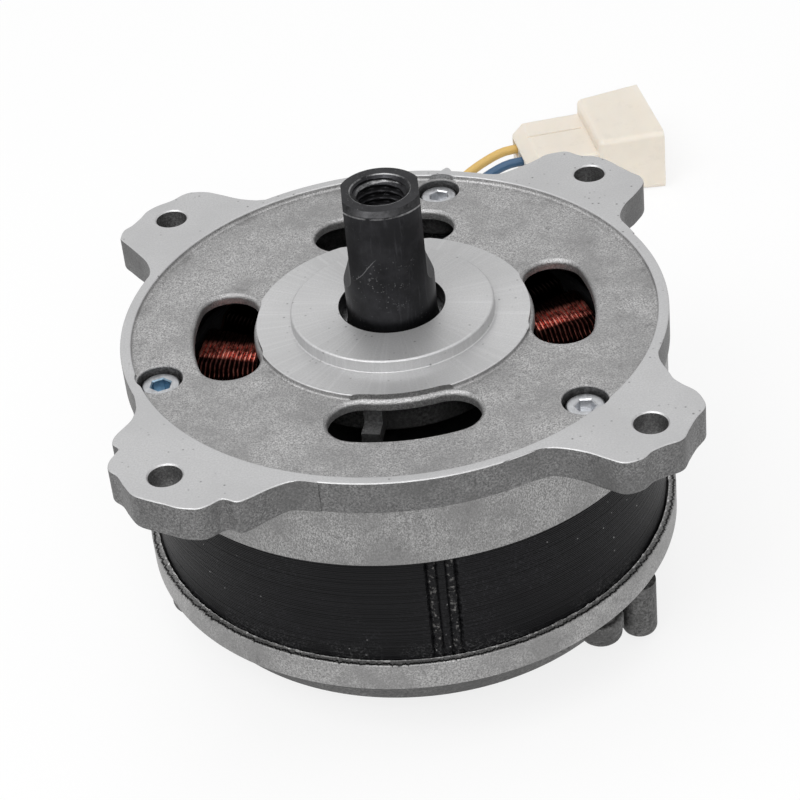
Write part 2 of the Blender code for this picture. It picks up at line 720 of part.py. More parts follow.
def rear_cover():
    """Cast rear cover: machined lip, bowl, bearing hub, ribs, screw bosses and posts."""
    inner_r = REAR_LIP_R - REAR_WALL
    housing_top = REAR_PLATE_TOP + REAR_HOUSING_TOP
    seat_r = REAR_BEARING_R + GAP
    cover = turned_part("rear_cover", (
        (REAR_LIP_R, REAR_LIP_TOP),
        (REAR_R, REAR_LIP_TOP),
        (REAR_R, REAR_SIDE_BOTTOM),
        (REAR_STEP_R, REAR_SIDE_BOTTOM),
        (REAR_STEP_R - REAR_STEP_DRAFT, REAR_STEP_BOTTOM),
        (REAR_CONE_R, REAR_PLATE_BOTTOM),
        (REAR_HUB_R + REAR_HUB_DRAFT, REAR_PLATE_BOTTOM),
        (REAR_HUB_R, 0.0),
        (0.0, 0.0),
        (0.0, REAR_HUB_FLOOR),
        (seat_r, REAR_HUB_FLOOR),
        (seat_r, housing_top),
        (seat_r + REAR_HOUSING_WALL, housing_top),
        (seat_r + REAR_HOUSING_WALL, REAR_PLATE_TOP),
        (inner_r - REAR_CORNER, REAR_PLATE_TOP),
        (inner_r, REAR_PLATE_TOP + REAR_CORNER),
        (inner_r, REAR_SHOULDER_Z),
        (REAR_LIP_R, REAR_SHOULDER_Z),
    ), COVER_STEPS, CAST)
    combine(cover, rear_bosses(), "UNION")
    combine(cover, rear_ribs(), "UNION")
    for post in (
        rear_post("outer_post", OUTER_POST_ANGLE, OUTER_POST_INSET, OUTER_POST_R, OUTER_POST_REACH),
        rear_post("inner_post", INNER_POST_ANGLE, INNER_POST_INSET, INNER_POST_R, INNER_POST_REACH),
        rear_post("pin", PIN_ANGLE, PIN_INSET, PIN_R, -PIN_RAISE),
    ):
        combine(cover, post, "UNION")
    combine(cover, rear_thread_cutter(), "DIFFERENCE")
    combine(cover, grommet_slot_cutter(), "DIFFERENCE")
    merge_facets(cover)
    return cover


def rear_bosses():
    """Bosses that the three screws thread into, thicker outside the bowl."""
    lug = (REAR_LUG_R, REAR_BOSS_BOTTOM + REAR_LUG_H)
    boss = turned_cutter("rear_cover_boss_shape", (
        (0.0, REAR_SHOULDER_Z),
        (REAR_BOSS_R, REAR_SHOULDER_Z),
        (REAR_BOSS_R, lug[1]),
        lug,
        (REAR_LUG_R, REAR_BOSS_BOTTOM),
        (0.0, REAR_BOSS_BOTTOM),
    ), HOLE_STEPS, closed=False)
    shape = solid_mesh(boss)
    bosses = [
        moved(shape, turn_z(angle) @ shift(SCREW_CIRCLE_R, 0.0))
        for angle in around(SCREW_COUNT, SCREW_ANGLE)
    ]
    return add_cutter("rear_cover_bosses", merged_mesh("rear_cover_bosses", bosses))


def rear_ribs():
    """Radial ribs under the plate, tapering from the hub to the rim of the bowl."""
    inner = REAR_HUB_R - REAR_HUB_DRAFT
    top = REAR_PLATE_BOTTOM + REAR_PLATE_T / 2
    outline = (
        (inner, top), (inner, REAR_PLATE_BOTTOM - REAR_RIB_H),
        (REAR_CONE_R - REAR_RIB_T, REAR_PLATE_BOTTOM), (REAR_CONE_R - REAR_RIB_T, top),
    )
    flat = plate_mesh("rear_rib", [outline], -REAR_RIB_T / 2, REAR_RIB_T / 2)
    upright = moved(flat, Matrix.Rotation(math.radians(90.0), 4, "X"))
    ribs = [moved(upright, turn_z(angle)) for angle in around(REAR_RIB_COUNT, REAR_RIB_ANGLE)]
    return add_cutter("rear_cover_ribs", merged_mesh("rear_cover_ribs", ribs))


def rear_post(name, angle, inset, radius, reach):
    """Round-ended cast post, rooted in the plate or in the wall of the bowl."""
    turn = math.radians(angle)
    centre_r = REAR_R - inset
    bottom = REAR_PLATE_BOTTOM - reach
    top = REAR_PLATE_TOP - GAP
    if centre_r > REAR_CONE_R + REAR_CORNER / 2:
        top = REAR_SIDE_BOTTOM - REAR_STEP
    points = [(0.0, top), (radius, top)]
    points += arc(POST_EDGE_R, 0.0, -90.0, 3, (radius - POST_EDGE_R, bottom + POST_EDGE_R))
    points.append((0.0, bottom))
    place = (centre_r * math.cos(turn), centre_r * math.sin(turn))
    return turned_cutter(name, points, HOLE_STEPS, closed=False, place=place)


def rear_thread_cutter():
    """Blind holes of the three screws in the rear bosses."""
    bottom = REAR_BOSS_BOTTOM + SCREW_HEAD_H / 2
    hole = cylinder_mesh("rear_hole", SCREW_HOLE_R, bottom, STATOR_BOTTOM, HOLE_STEPS)
    holes = [
        moved(hole, turn_z(angle) @ shift(SCREW_CIRCLE_R, 0.0))
        for angle in around(SCREW_COUNT, SCREW_ANGLE)
    ]
    return add_cutter("rear_hole_cutter", merged_mesh("rear_hole_cutter", holes))


def grommet_slot_cutter():
    """Slot through the rear cover's wall for the lead grommet."""
    slot = box_mesh(
        "grommet_slot",
        (REAR_LIP_R - 2 * REAR_WALL, -GROMMET_W / 2 - GAP, LEAD_Z - GROMMET_H / 2 - GAP),
        (REAR_R + REAR_WALL, GROMMET_W / 2 + GAP, LEAD_Z + GROMMET_H / 2 + GAP),
    )
    return add_cutter("grommet_slot_cutter", moved(slot, turn_z(LEAD_ANGLE)))


def lamination_loop(bore_r, tip_t, shoe_t, half_w, slot_r, opening):
    """Inner outline of a slotted lamination: tooth tips, shoes and slots."""
    loop = []
    pitch = 360.0 / SLOT_COUNT
    half_tip = pitch / 2 - math.degrees(math.asin(opening / 2 / bore_r))
    shoe_r = bore_r + tip_t
    neck_r = shoe_r + shoe_t
    half_shoe = pitch / 2 - math.degrees(math.asin(opening / 2 / shoe_r))
    neck = math.degrees(math.asin(half_w / neck_r))
    root = math.degrees(math.asin(half_w / slot_r))
    for middle in around(SLOT_COUNT, TOOTH_ANGLE):
        loop += arc(slot_r, middle - pitch / 2, middle - root, 1)
        loop += arc(neck_r, middle - neck, middle - neck, 1)[:1]
        loop += arc(shoe_r, middle - half_shoe, middle - half_shoe, 1)[:1]
        loop += arc(bore_r, middle - half_tip, middle + half_tip, 2)
        loop += arc(shoe_r, middle + half_shoe, middle + half_shoe, 1)[:1]
        loop += arc(neck_r, middle + neck, middle + neck, 1)[:1]
        loop += arc(slot_r, middle + root, middle + root, 1)[:1]
    return loop


def stator_core():
    """Lamination stack with twelve slots, screw holes and four weld grooves."""
    outlines = [ring_outline(STATOR_R, COVER_STEPS)]
    outlines.append(lamination_loop(
        STATOR_BORE_R, TIP_T, SHOE_T, TOOTH_HALF_W, SLOT_R, SLOT_OPENING
    ))
    for angle in around(SCREW_COUNT, SCREW_ANGLE):
        turn = math.radians(angle)
        centre = (SCREW_CIRCLE_R * math.cos(turn), SCREW_CIRCLE_R * math.sin(turn))
        step = 360.0 / HOLE_STEPS
        outlines.append(arc(SCREW_HOLE_R, 0.0, 360.0 - step, HOLE_STEPS - 1, centre))
    mesh = plate_mesh("stator_core", outlines, STATOR_BOTTOM, STATOR_TOP)
    core = add_part("stator_core", mesh, LAMINATION)
    groove = cylinder_mesh(
        "weld_groove", GROOVE_R, STATOR_BOTTOM - SPIGOT_DEPTH, STATOR_TOP + SPIGOT_DEPTH, GROOVE_STEPS
    )
    grooves = []
    middle = (GROOVE_COUNT - 1) / 2
    for index in range(GROOVE_COUNT):
        angle = GROOVE_ANGLE + (index - middle) * GROOVE_STEP_ANGLE
        grooves.append(moved(groove, turn_z(angle) @ shift(STATOR_R, 0.0)))
    cutter = add_cutter("weld_groove_cutter", merged_mesh("weld_grooves", grooves))
    combine(core, cutter, "DIFFERENCE")
    return core


def insulator(name, face, up):
    """End insulator on the stator: toothed plate, outer rim and coil stops at the tips."""
    low, high = sorted((face + up * GAP, face + up * (GAP + INSULATOR_T)))
    rim_r = INSULATOR_RIM_R
    outlines = [
        ring_outline(rim_r, INSULATOR_STEPS),
        lamination_loop(
            STATOR_BORE_R + GAP, TIP_T, SHOE_T, TOOTH_HALF_W - GAP,
            rim_r - INSULATOR_RIM_T, SLOT_OPENING + 2 * GAP,
        ),
    ]
    body = add_part(name, plate_mesh(name, outlines, low, high), INSULATOR)
    base = face + up * (GAP + INSULATOR_T / 2)
    rim_end = face + up * (GAP + INSULATOR_T + INSULATOR_RIM_H)
    rim_low, rim_high = sorted((base, rim_end))
    rim_in = ring_outline(rim_r - INSULATOR_RIM_T, INSULATOR_STEPS)
    rim = plate_mesh("rim", [ring_outline(rim_r, INSULATOR_STEPS), rim_in], rim_low, rim_high)
    tip_end = face + up * (GAP + INSULATOR_T + INSULATOR_TIP_H)
    tip_low, tip_high = sorted((base, tip_end))
    tip_r = STATOR_BORE_R + GAP
    half = math.degrees(SLOT_TURN) - INSULATOR_TIP_ANGLE
    stop = arc(tip_r + TIP_T, -half, half, 1) + arc(tip_r, half, -half, 2)
    stop_mesh = plate_mesh("stop", [stop], tip_low, tip_high)
    stops = [moved(stop_mesh, turn_z(angle)) for angle in around(SLOT_COUNT, TOOTH_ANGLE)]
    upstands = merged_mesh(name + "_upstands", [rim, *stops])
    combine(body, add_cutter(name + "_upstands", upstands), "UNION")
    if up > 0:
        merge_facets(body)
        return body
    cut_low, cut_high = sorted((face, rim_end + up * GAP))
    relief = cylinder_mesh("relief", REAR_BOSS_R + GAP, cut_low, cut_high, HOLE_STEPS)
    reliefs = [
        moved(relief, turn_z(angle) @ shift(SCREW_CIRCLE_R, 0.0))
        for angle in around(SCREW_COUNT, SCREW_ANGLE)
    ]
    cutter = add_cutter(name + "_relief", merged_mesh(name + "_relief", reliefs))
    combine(body, cutter, "DIFFERENCE")
    merge_facets(body)
    return body


def rounded_frame(half_w, half_h, radius, count):
    """Rectangle with round corners, centred on the origin."""
    outline = []
    for sx, sy, start in ((1, 1, 0.0), (-1, 1, 90.0), (-1, -1, 180.0), (1, -1, 270.0)):
        centre = (sx * (half_w - radius), sy * (half_h - radius))
        outline += arc(radius, start, start + 90.0, count, centre)
    return outline


def coil_mesh():
    """Concentrated coil about +X: a tapering frame around one tooth and its insulators."""
    half_gap = TOOTH_HALF_W + 2 * GAP
    half_end = STATOR_H / 2 + INSULATOR_T + 2 * GAP
    outer_h = half_end + COIL_END_T
    corner = min(COIL_CORNER_R, COIL_HALF_W_IN - GAP)
    outer = rounded_frame(COIL_HALF_W_IN, outer_h, corner, 2)
    inner = rounded_frame(half_gap, half_end, GAP, 1)
    frame = plate_mesh("coil", [outer, inner], COIL_R_IN, COIL_R_OUT)
    middle = (COIL_R_IN + COIL_R_OUT) / 2
    for vertex in frame.vertices:
        outside = abs(vertex.co.x) > half_gap + GAP or abs(vertex.co.y) > half_end + GAP
        if outside and vertex.co.z > middle:
            vertex.co.x *= COIL_HALF_W_OUT / COIL_HALF_W_IN
    stand = Matrix(((0, 0, 1, 0), (1, 0, 0, 0), (0, 1, 0, 0), (0, 0, 0, 1)))
    return moved(frame, shift(0.0, 0.0, (STATOR_TOP + STATOR_BOTTOM) / 2) @ stand)


def coils():
    """Twelve coils, one on each tooth."""
    mesh = coil_mesh()
    for index, angle in enumerate(around(SLOT_COUNT, TOOTH_ANGLE)):
        add_part("coil_{:02d}".format(index + 1), moved(mesh, turn_z(angle)), COPPER)


def rotor_core():
    """Rotor core pressed on the shaft."""
    bore = ROTOR_SEAT_R + GAP
    return turned_part("rotor_core", (
        (bore, STATOR_TOP),
        (ROTOR_R, STATOR_TOP),
        (ROTOR_R, STATOR_BOTTOM),
        (bore, STATOR_BOTTOM),
    ), ROTOR_STEPS, STEEL_BLACK)


def magnets():
    """Ten magnet tiles round the rotor core."""
    half = MAGNET_ANGLE / 2
    tile = arc(MAGNET_R, -half, half, 4) + arc(ROTOR_R + GAP, half, -half, 4)
    mesh = plate_mesh("magnet", [tile], STATOR_BOTTOM, STATOR_TOP)
    for index, angle in enumerate(around(MAGNET_COUNT, 0.0)):
        name = "magnet_{:02d}".format(index + 1)
        add_part(name, moved(mesh, turn_z(angle)), MAGNET)


def shaft():
    """Stepped shaft: threaded nose with two flats, bearing journals and rotor seat."""
    top = PLANE_Z + SHAFT_TOP
    shoulder_top = FRONT_BEARING_TOP - FRONT_BEARING_W - GAP
    rear_shoulder = REAR_BEARING_MID + REAR_BEARING_W / 2 + GAP
    end = REAR_BEARING_MID - REAR_BEARING_W / 2
    hole_bottom = top - THREAD_DEPTH
    spindle = turned_part("shaft", (
        (THREAD_R + THREAD_CHAMFER, top),
        (SHAFT_R - SHAFT_CHAMFER, top),
        (SHAFT_R, top - SHAFT_CHAMFER),
        (SHAFT_R, shoulder_top),
        (SHOULDER_R, shoulder_top),
        (SHOULDER_R, shoulder_top - SHOULDER_H),
        (ROTOR_SEAT_R, shoulder_top - SHOULDER_H),
        (ROTOR_SEAT_R, STATOR_BOTTOM - GAP),
        (REAR_NECK_R, STATOR_BOTTOM - GAP),
        (REAR_NECK_R, rear_shoulder),
        (REAR_JOURNAL_R, rear_shoulder),
        (REAR_JOURNAL_R, end),
        (0.0, end),
        (0.0, hole_bottom - THREAD_R / 2),
        (THREAD_R, hole_bottom),
        (THREAD_R, top - THREAD_CHAMFER),
    ), SHAFT_STEPS, STEEL_BLACK)
    combine(spindle, flats_cutter(), "DIFFERENCE")
    return spindle


def flats_cutter():
    """Two opposite flats with a cutter-radius run-out at their lower end."""
    near = SHAFT_R - FLATS_DEPTH
    far = 2 * SHAFT_R
    low = PLANE_Z + FLATS_END
    high = PLANE_Z + SHAFT_TOP + SHAFT_R
    radius = FLATS_RUNOUT_R
    outline = [(near, high)]
    outline += arc(radius, 180.0, 270.0, 5, (near + radius, low))
    outline += [(far, low - radius), (far, high)]
    flat = plate_mesh("flat", [outline], -far, far)
    upright = moved(flat, Matrix.Rotation(math.radians(90.0), 4, "X"))
    pair = [upright, moved(upright, turn_z(180.0))]
    return add_cutter("flats_cutter", merged_mesh("flats_cutter", pair))


def bearing(prefix, bore_r, outer_r, width, middle):
    """Sealed ball bearing: outer race with its two shields, and inner race."""
    high = middle + width / 2
    low = middle - width / 2
    track_r = outer_r - OUTER_RACE_T
    inner_r = bore_r + GAP + INNER_RACE_T
    shield_r = inner_r + GAP
    turned_part(prefix + "_bearing_outer_race", (
        (track_r, high),
        (outer_r, high),
        (outer_r, low),
        (track_r, low),
        (track_r, low + SHIELD_INSET),
        (shield_r, low + SHIELD_INSET),
        (shield_r, low + SHIELD_INSET + SHIELD_T),
        (track_r, low + SHIELD_INSET + SHIELD_T),
        (track_r, high - SHIELD_INSET - SHIELD_T),
        (shield_r, high - SHIELD_INSET - SHIELD_T),
        (shield_r, high - SHIELD_INSET),
        (track_r, high - SHIELD_INSET),
    ), BEARING_STEPS, BRIGHT)
    turned_part(prefix + "_bearing_inner_race", (
        (bore_r + GAP, high),
        (inner_r, high),
        (inner_r, low),
        (bore_r + GAP, low),
    ), BEARING_STEPS, BRIGHT)


def wave_washer():
    """Preload washer under the rear bearing, waved in three crests."""
    inner = REAR_BEARING_R - OUTER_RACE_T - WASHER_T
    middle = REAR_HUB_FLOOR + GAP + WASHER_WAVE + WASHER_T / 2
    washer = turned_part("wave_washer", (
        (inner, WASHER_T / 2),
        (REAR_BEARING_R - GAP, WASHER_T / 2),
        (REAR_BEARING_R - GAP, -WASHER_T / 2),
        (inner, -WASHER_T / 2),
    ), BEARING_STEPS, BRIGHT)
    mesh = solid_mesh(washer)
    for vertex in mesh.vertices:
        turn = math.atan2(vertex.co.y, vertex.co.x)
        vertex.co.z += middle + WASHER_WAVE * math.sin(3 * turn)
    washer.modifiers.clear()
    washer.data = mesh


def circlip():
    """Open retaining ring under the front shoulder of the shaft."""
    top = FRONT_BEARING_TOP - FRONT_BEARING_W - GAP - SHOULDER_H - GAP
    inner = ROTOR_SEAT_R + GAP
    outer = SHOULDER_R + 2 * CIRCLIP_T
    first = CIRCLIP_MOUTH_ANGLE
    last = 360.0 - first
    outline = arc(outer, first, last, HOLE_STEPS) + arc(inner, last, first, HOLE_STEPS)
    mesh = plate_mesh("rotor_circlip", [outline], top - CIRCLIP_T, top)
    add_part("rotor_circlip", mesh, STEEL_BLACK)


def housing_screws():
    """Long socket cap screws through covers and stator."""
    end = REAR_BOSS_BOTTOM + SCREW_HEAD_H / 2 + SCREW_BOTTOM_GAP
    chamfer = SCREW_R / 4
    for index, angle in enumerate(around(SCREW_COUNT, SCREW_ANGLE)):
        screw = turned_part("housing_screw_{:d}".format(index + 1), (
            (0.0, HEAD_TOP),
            (SCREW_HEAD_R - chamfer / 2, HEAD_TOP),
            (SCREW_HEAD_R, HEAD_TOP - chamfer / 2),
            (SCREW_HEAD_R, HEAD_SEAT),
            (SCREW_R, HEAD_SEAT),
            (SCREW_R, end + chamfer),
            (SCREW_R - chamfer, end),
            (0.0, end),
        ), HOLE_STEPS, ZINC, closed=False)
        turn = math.radians(angle)
        screw.location = (SCREW_CIRCLE_R * math.cos(turn), SCREW_CIRCLE_R * math.sin(turn), 0.0)
        screw.rotation_euler = (0.0, 0.0, turn)
        socket = add_cutter("socket_cutter_{:d}".format(index + 1), cylinder_mesh(
            "socket", SCREW_HEX_R, HEAD_TOP - SCREW_HEX_DEPTH, HEAD_TOP + SCREW_HEX_DEPTH, HEX_STEPS
        ))
        socket.location = screw.location
        socket.rotation_euler = screw.rotation_euler
        combine(screw, socket, "DIFFERENCE")


def lead_offsets():
    """Sideways place of each lead in the grommet, yellow first."""
    middle = (len(LEAD_ORDER) - 1) / 2
    return {name: (middle - index) * LEAD_SPACING for index, name in enumerate(LEAD_ORDER)}


def grommet():
    """Rubber grommet in the rear cover's wall, with one hole for each lead."""
    lip = GROMMET_LIP
    inner = REAR_LIP_R - REAR_WALL
    face = REAR_R + GAP
    body = add_part("lead_grommet", moved(box_mesh(
        "lead_grommet",
        (inner, -GROMMET_W / 2, LEAD_Z - GROMMET_H / 2),
        (face + GROMMET_LIP_T / 2, GROMMET_W / 2, LEAD_Z + GROMMET_H / 2),
    ), turn_z(LEAD_ANGLE)), RUBBER)
    flange = add_cutter("grommet_flange", moved(box_mesh(
        "grommet_flange",
        (face, -GROMMET_W / 2 - lip, LEAD_Z - GROMMET_H / 2 - lip),
        (face + GROMMET_LIP_T, GROMMET_W / 2 + lip, LEAD_Z + GROMMET_H / 2 + lip),
    ), turn_z(LEAD_ANGLE)))
    combine(body, flange, "UNION")
    length = REAR_R
    hole = cylinder_mesh("lead_hole", LEAD_R + GAP, -length / 2, length / 2, LEAD_HOLE_STEPS)
    along = moved(hole, Matrix.Rotation(math.radians(90.0), 4, "Y"))
    holes = [
        moved(along, turn_z(LEAD_ANGLE) @ shift(REAR_R, offset, LEAD_Z))
        for offset in lead_offsets().values()
    ]
    cutter = add_cutter("lead_hole_cutter", merged_mesh("lead_holes", holes))
    combine(body, cutter, "DIFFERENCE")
    return body


def plug_matrix():
    """Place of the plug: its rear face is at local x = 0 and it points along +X."""
    return shift(PLUG_PLACE[0], PLUG_PLACE[1]) @ turn_z(PLUG_ANGLE)


def plug_row():
    """Sideways place of each contact in the plug, yellow first."""
    middle = (len(LEAD_ORDER) - 1) / 2
    return {name: (middle - index) * PLUG_PITCH for index, name in enumerate(LEAD_ORDER)}


def leads():
    """Three insulated phase leads from inside the cover, through the grommet, to the plug."""
    offsets = lead_offsets()
    row = plug_row()
    for name in LEAD_ORDER:
        exit_turn = turn_z(LEAD_ANGLE)
        start = exit_turn @ Vector((REAR_LIP_R - REAR_WALL - GAP, offsets[name], LEAD_Z))
        outside = exit_turn @ Vector((REAR_R + GROMMET_LIP_T + 2 * GAP, offsets[name], LEAD_Z))
        stop = PLUG_NECK_L - CRIMP_L - 2 * GAP
        mouth = plug_matrix() @ Vector((-LEAD_R, row[name], CONTACT_Z))
        end = plug_matrix() @ Vector((stop, row[name], CONTACT_Z))
        route = [start, outside]
        route += [Vector(point) * MM for point in LEAD_ROUTES[name]]
        route += [mouth, end]
        path = evenly_spaced(smoothed(route, 6), LEAD_POINT_STEP)
        curve = bpy.data.curves.new(name, "CURVE")
        curve.dimensions = "3D"
        curve.bevel_depth = LEAD_R
        curve.bevel_resolution = 2
        curve.use_fill_caps = True
        spline = curve.splines.new("POLY")
        spline.points.add(len(path) - 1)
        for point, co in zip(spline.points, path):
            point.co = (co.x, co.y, co.z, 1.0)
        curve.materials.append(LEAD_COLORS[name])
        PARTS.objects.link(bpy.data.objects.new(name, curve))


def tapered_box(name, start, end, back, mouth, middle):
    """Box along local X whose section grows from the back to the mouth, both on one height."""
    solid = bmesh.new()
    bmesh.ops.create_cube(solid, size=1.0)
    for vert in solid.verts:
        width, height = mouth if vert.co.x > 0 else back
        along = end if vert.co.x > 0 else start
        vert.co = Vector((along, vert.co.y * width, middle + vert.co.z * height))
    mesh = bpy.data.meshes.new(name)
    solid.to_mesh(mesh)
    solid.free()
    return mesh


def soften(obj, width):
    """Small bevel on every edge of a moulded piece."""
    bevel = obj.modifiers.new("soft_edges", "BEVEL")
    bevel.width = width
    bevel.segments = 1


def plug_neck():
    """Neck of the plug, with its upper rear edge cut off at a slope."""
    half = PLUG_NECK_W / 2
    slope = PLUG_NECK_SLOPE
    side = (
        (0.0, PLUG_NECK_LOW), (PLUG_NECK_L + PLUG_WALL, PLUG_NECK_LOW),
        (PLUG_NECK_L + PLUG_WALL, PLUG_NECK_HIGH), (slope, PLUG_NECK_HIGH),
        (0.0, PLUG_NECK_HIGH - slope),
    )
    flat = plate_mesh("plug_neck", [side], -half, half)
    upright = moved(flat, Matrix.Rotation(math.radians(90.0), 4, "X"))
    return add_cutter("plug_neck", moved(upright, plug_matrix()))


def plug_chamber():
    """Space for one contact: a crimp chamber and the narrow slot of its blade."""
    half_h = CRIMP_H / 2 + GAP
    half_t = BLADE_T / 2 + GAP
    half_w = BLADE_W / 2 + GAP
    end = PLUG_NECK_L + 2 * PLUG_DIVIDER
    side = (
        (-PLUG_WALL, CONTACT_Z - half_h), (PLUG_NECK_L, CONTACT_Z - half_h),
        (PLUG_NECK_L, CONTACT_Z - half_t), (end, CONTACT_Z - half_t),
        (end, CONTACT_Z + half_t), (PLUG_NECK_L, CONTACT_Z + half_t),
        (PLUG_NECK_L, CONTACT_Z + half_h), (-PLUG_WALL, CONTACT_Z + half_h),
    )
    flat = plate_mesh("plug_chamber", [side], -half_w, half_w)
    return moved(flat, Matrix.Rotation(math.radians(90.0), 4, "X"))


def plug_housing():
    """White nylon plug: sloped neck with three chambers and an open, flared hood."""
    middle = PLUG_HOOD_MOUTH[1] / 2
    length = PLUG_NECK_L + PLUG_HOOD_L
    body = add_part("plug_housing", moved(tapered_box(
        "plug_housing", PLUG_NECK_L, length, PLUG_HOOD_BACK, PLUG_HOOD_MOUTH, middle
    ), plug_matrix()), NYLON)
    soften(body, PLUG_EDGE)
    combine(body, plug_neck(), "UNION")
    wall = 2 * PLUG_WALL
    cavity = add_cutter("plug_cavity", moved(tapered_box(
        "plug_cavity", PLUG_NECK_L + PLUG_DIVIDER, length + PLUG_WALL,
        (PLUG_HOOD_BACK[0] - wall, PLUG_HOOD_BACK[1] - wall),
        (PLUG_HOOD_MOUTH[0] - wall, PLUG_HOOD_MOUTH[1] - wall), middle,
    ), plug_matrix()))
    combine(body, cavity, "DIFFERENCE")
    groove = add_cutter("plug_groove", moved(box_mesh(
        "plug_groove",
        (-PLUG_WALL, PLUG_GROOVE_SIDE, PLUG_NECK_HIGH - PLUG_GROOVE_DEPTH),
        (PLUG_NECK_L - PLUG_EDGE, PLUG_GROOVE_SIDE + PLUG_GROOVE_W, PLUG_NECK_HIGH + PLUG_WALL),
    ), plug_matrix()))
    combine(body, groove, "DIFFERENCE")
    chambers = []
    for side in plug_row().values():
        chambers.append(moved(plug_chamber(), shift(0.0, side)))
    chamber_cut = moved(merged_mesh("plug_chambers", chambers), plug_matrix())
    combine(body, add_cutter("plug_chambers", chamber_cut), "DIFFERENCE")
    return body


def terminals():
    """Tab contacts: a flat blade in the hood and a crimp barrel in the neck."""
    blade_start = PLUG_NECK_L - CRIMP_L
    for name, side in plug_row().items():
        label = name.replace("lead", "terminal")
        blade = add_part(label, moved(box_mesh(
            label,
            (blade_start, side - BLADE_W / 2, CONTACT_Z - BLADE_T / 2),
            (PLUG_NECK_L + PLUG_DIVIDER + BLADE_L, side + BLADE_W / 2, CONTACT_Z + BLADE_T / 2),
        ), plug_matrix()), TIN)
        barrel = add_cutter(label + "_barrel", moved(box_mesh(
            label + "_barrel",
            (blade_start, side - BLADE_W / 2, CONTACT_Z - CRIMP_H / 2),
            (PLUG_NECK_L - GAP, side + BLADE_W / 2, CONTACT_Z + CRIMP_H / 2),
        ), plug_matrix()))
        combine(blade, barrel, "UNION")


def smooth_round_pieces():
    """Shade the curved pieces smooth and keep their machined edges sharp."""
    for obj in PARTS.objects:
        if obj.type == "MESH" and len(obj.data.polygons) > 0:
            obj.data.shade_smooth()
            obj.data.set_sharp_from_angle(angle=math.radians(35.0))


front_cover()
rear_cover()
stator_core()
insulator("front_insulator", STATOR_TOP, 1)
insulator("rear_insulator", STATOR_BOTTOM, -1)
coils()
rotor_core()
magnets()
shaft()
bearing("front", SHAFT_R, FRONT_BEARING_R, FRONT_BEARING_W, FRONT_BEARING_MID)
bearing("rear", REAR_JOURNAL_R, REAR_BEARING_R, REAR_BEARING_W, REAR_BEARING_MID)
wave_washer()
circlip()
housing_screws()
grommet()
leads()
plug_housing()
terminals()
smooth_round_pieces()
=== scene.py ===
import math

import bmesh
import bpy
from mathutils import Matrix, Vector, noise


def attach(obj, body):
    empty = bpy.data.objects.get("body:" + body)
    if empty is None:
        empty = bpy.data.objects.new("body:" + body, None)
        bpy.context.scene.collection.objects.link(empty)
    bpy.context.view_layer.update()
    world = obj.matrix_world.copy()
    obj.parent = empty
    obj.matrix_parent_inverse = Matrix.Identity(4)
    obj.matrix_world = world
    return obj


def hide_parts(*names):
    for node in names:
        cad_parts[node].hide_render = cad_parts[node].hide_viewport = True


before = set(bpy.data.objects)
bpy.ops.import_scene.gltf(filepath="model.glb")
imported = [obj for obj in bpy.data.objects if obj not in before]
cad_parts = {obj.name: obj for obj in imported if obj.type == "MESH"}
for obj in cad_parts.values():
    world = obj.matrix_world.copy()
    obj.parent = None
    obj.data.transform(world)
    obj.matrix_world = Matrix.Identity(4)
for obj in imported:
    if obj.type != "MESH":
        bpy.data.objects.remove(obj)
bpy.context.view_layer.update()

MM = 0.001
GAP = 0.3 * MM
PLANE_Z = 75.4 * MM

# Front cover, as in the part's source
RING_R = 60.8 * MM
RING_WIDTH = 2.4 * MM
RECESS_R = RING_R - RING_WIDTH
RECESS_DEPTH = 1.3 * MM
FLANGE_T = 7.7 * MM
FLANGE_BOTTOM = PLANE_Z - FLANGE_T
EAR_T = 8.6 * MM
EAR_SLOPE = 9.0 * MM
EAR_HOLE_R = 3.65 * MM
EAR_REACH = 50.0 * MM
EAR_TOP_EDGE = 0.35 * MM
EAR_LOW_EDGE = 0.9 * MM
NIB_ANGLE = 74.3
NIB_LENGTH = 2.0 * MM
SKIRT_R = 60.2 * MM
SKIRT_BOTTOM = PLANE_Z - 22.3 * MM
SKIRT_WALL = 4.4 * MM
SPIGOT_TOP = SKIRT_BOTTOM + 2.0 * MM
FACE_T = 3.0 * MM
FACE_Z = PLANE_Z - RECESS_DEPTH
FACE_UNDER = FACE_Z - FACE_T
HUB_R = 31.1 * MM
BOSS_R = 22.6 * MM
BOSS_H = 2.9 * MM
BOSS_BORE_R = 11.65 * MM
SEAT_R = 21.3 * MM
SEAT_TOP = PLANE_Z - 0.5 * MM
HOUSING_R = 26.7 * MM
HOUSING_BOTTOM = PLANE_Z - 12.6 * MM
RIB_ANGLE = -102.5
RIB_HALF_W = 2.0 * MM
RIB_REACH = 8.0 * MM
WINDOW_R = 37.9 * MM
WINDOW_HALF_W = 6.7 * MM
WINDOW_HALF_ANGLE = 14.8
WINDOW_EDGE_R = 1.1 * MM
SCREW_ANGLES = (75.0, 195.0, 315.0)
SCREW_CIRCLE_R = 53.7 * MM
COUNTERBORE_R = 5.0 * MM
PILLAR_R = 6.4 * MM
SCREW_HOLE_R = 2.8 * MM
HEAD_TOP = PLANE_Z - 2.7 * MM
HEAD_SEAT = HEAD_TOP - 5.0 * MM
HEAD_R = 4.25 * MM
SCREW_R = 2.5 * MM
SCREW_BOTTOM = 14.7 * MM
SCREW_TURNS = (17.0, 4.0, 39.0)
KNURLS = 72
HEX_R = 2.31 * MM
HEX_DEPTH = 2.6 * MM
BLUED_SCREW = 1

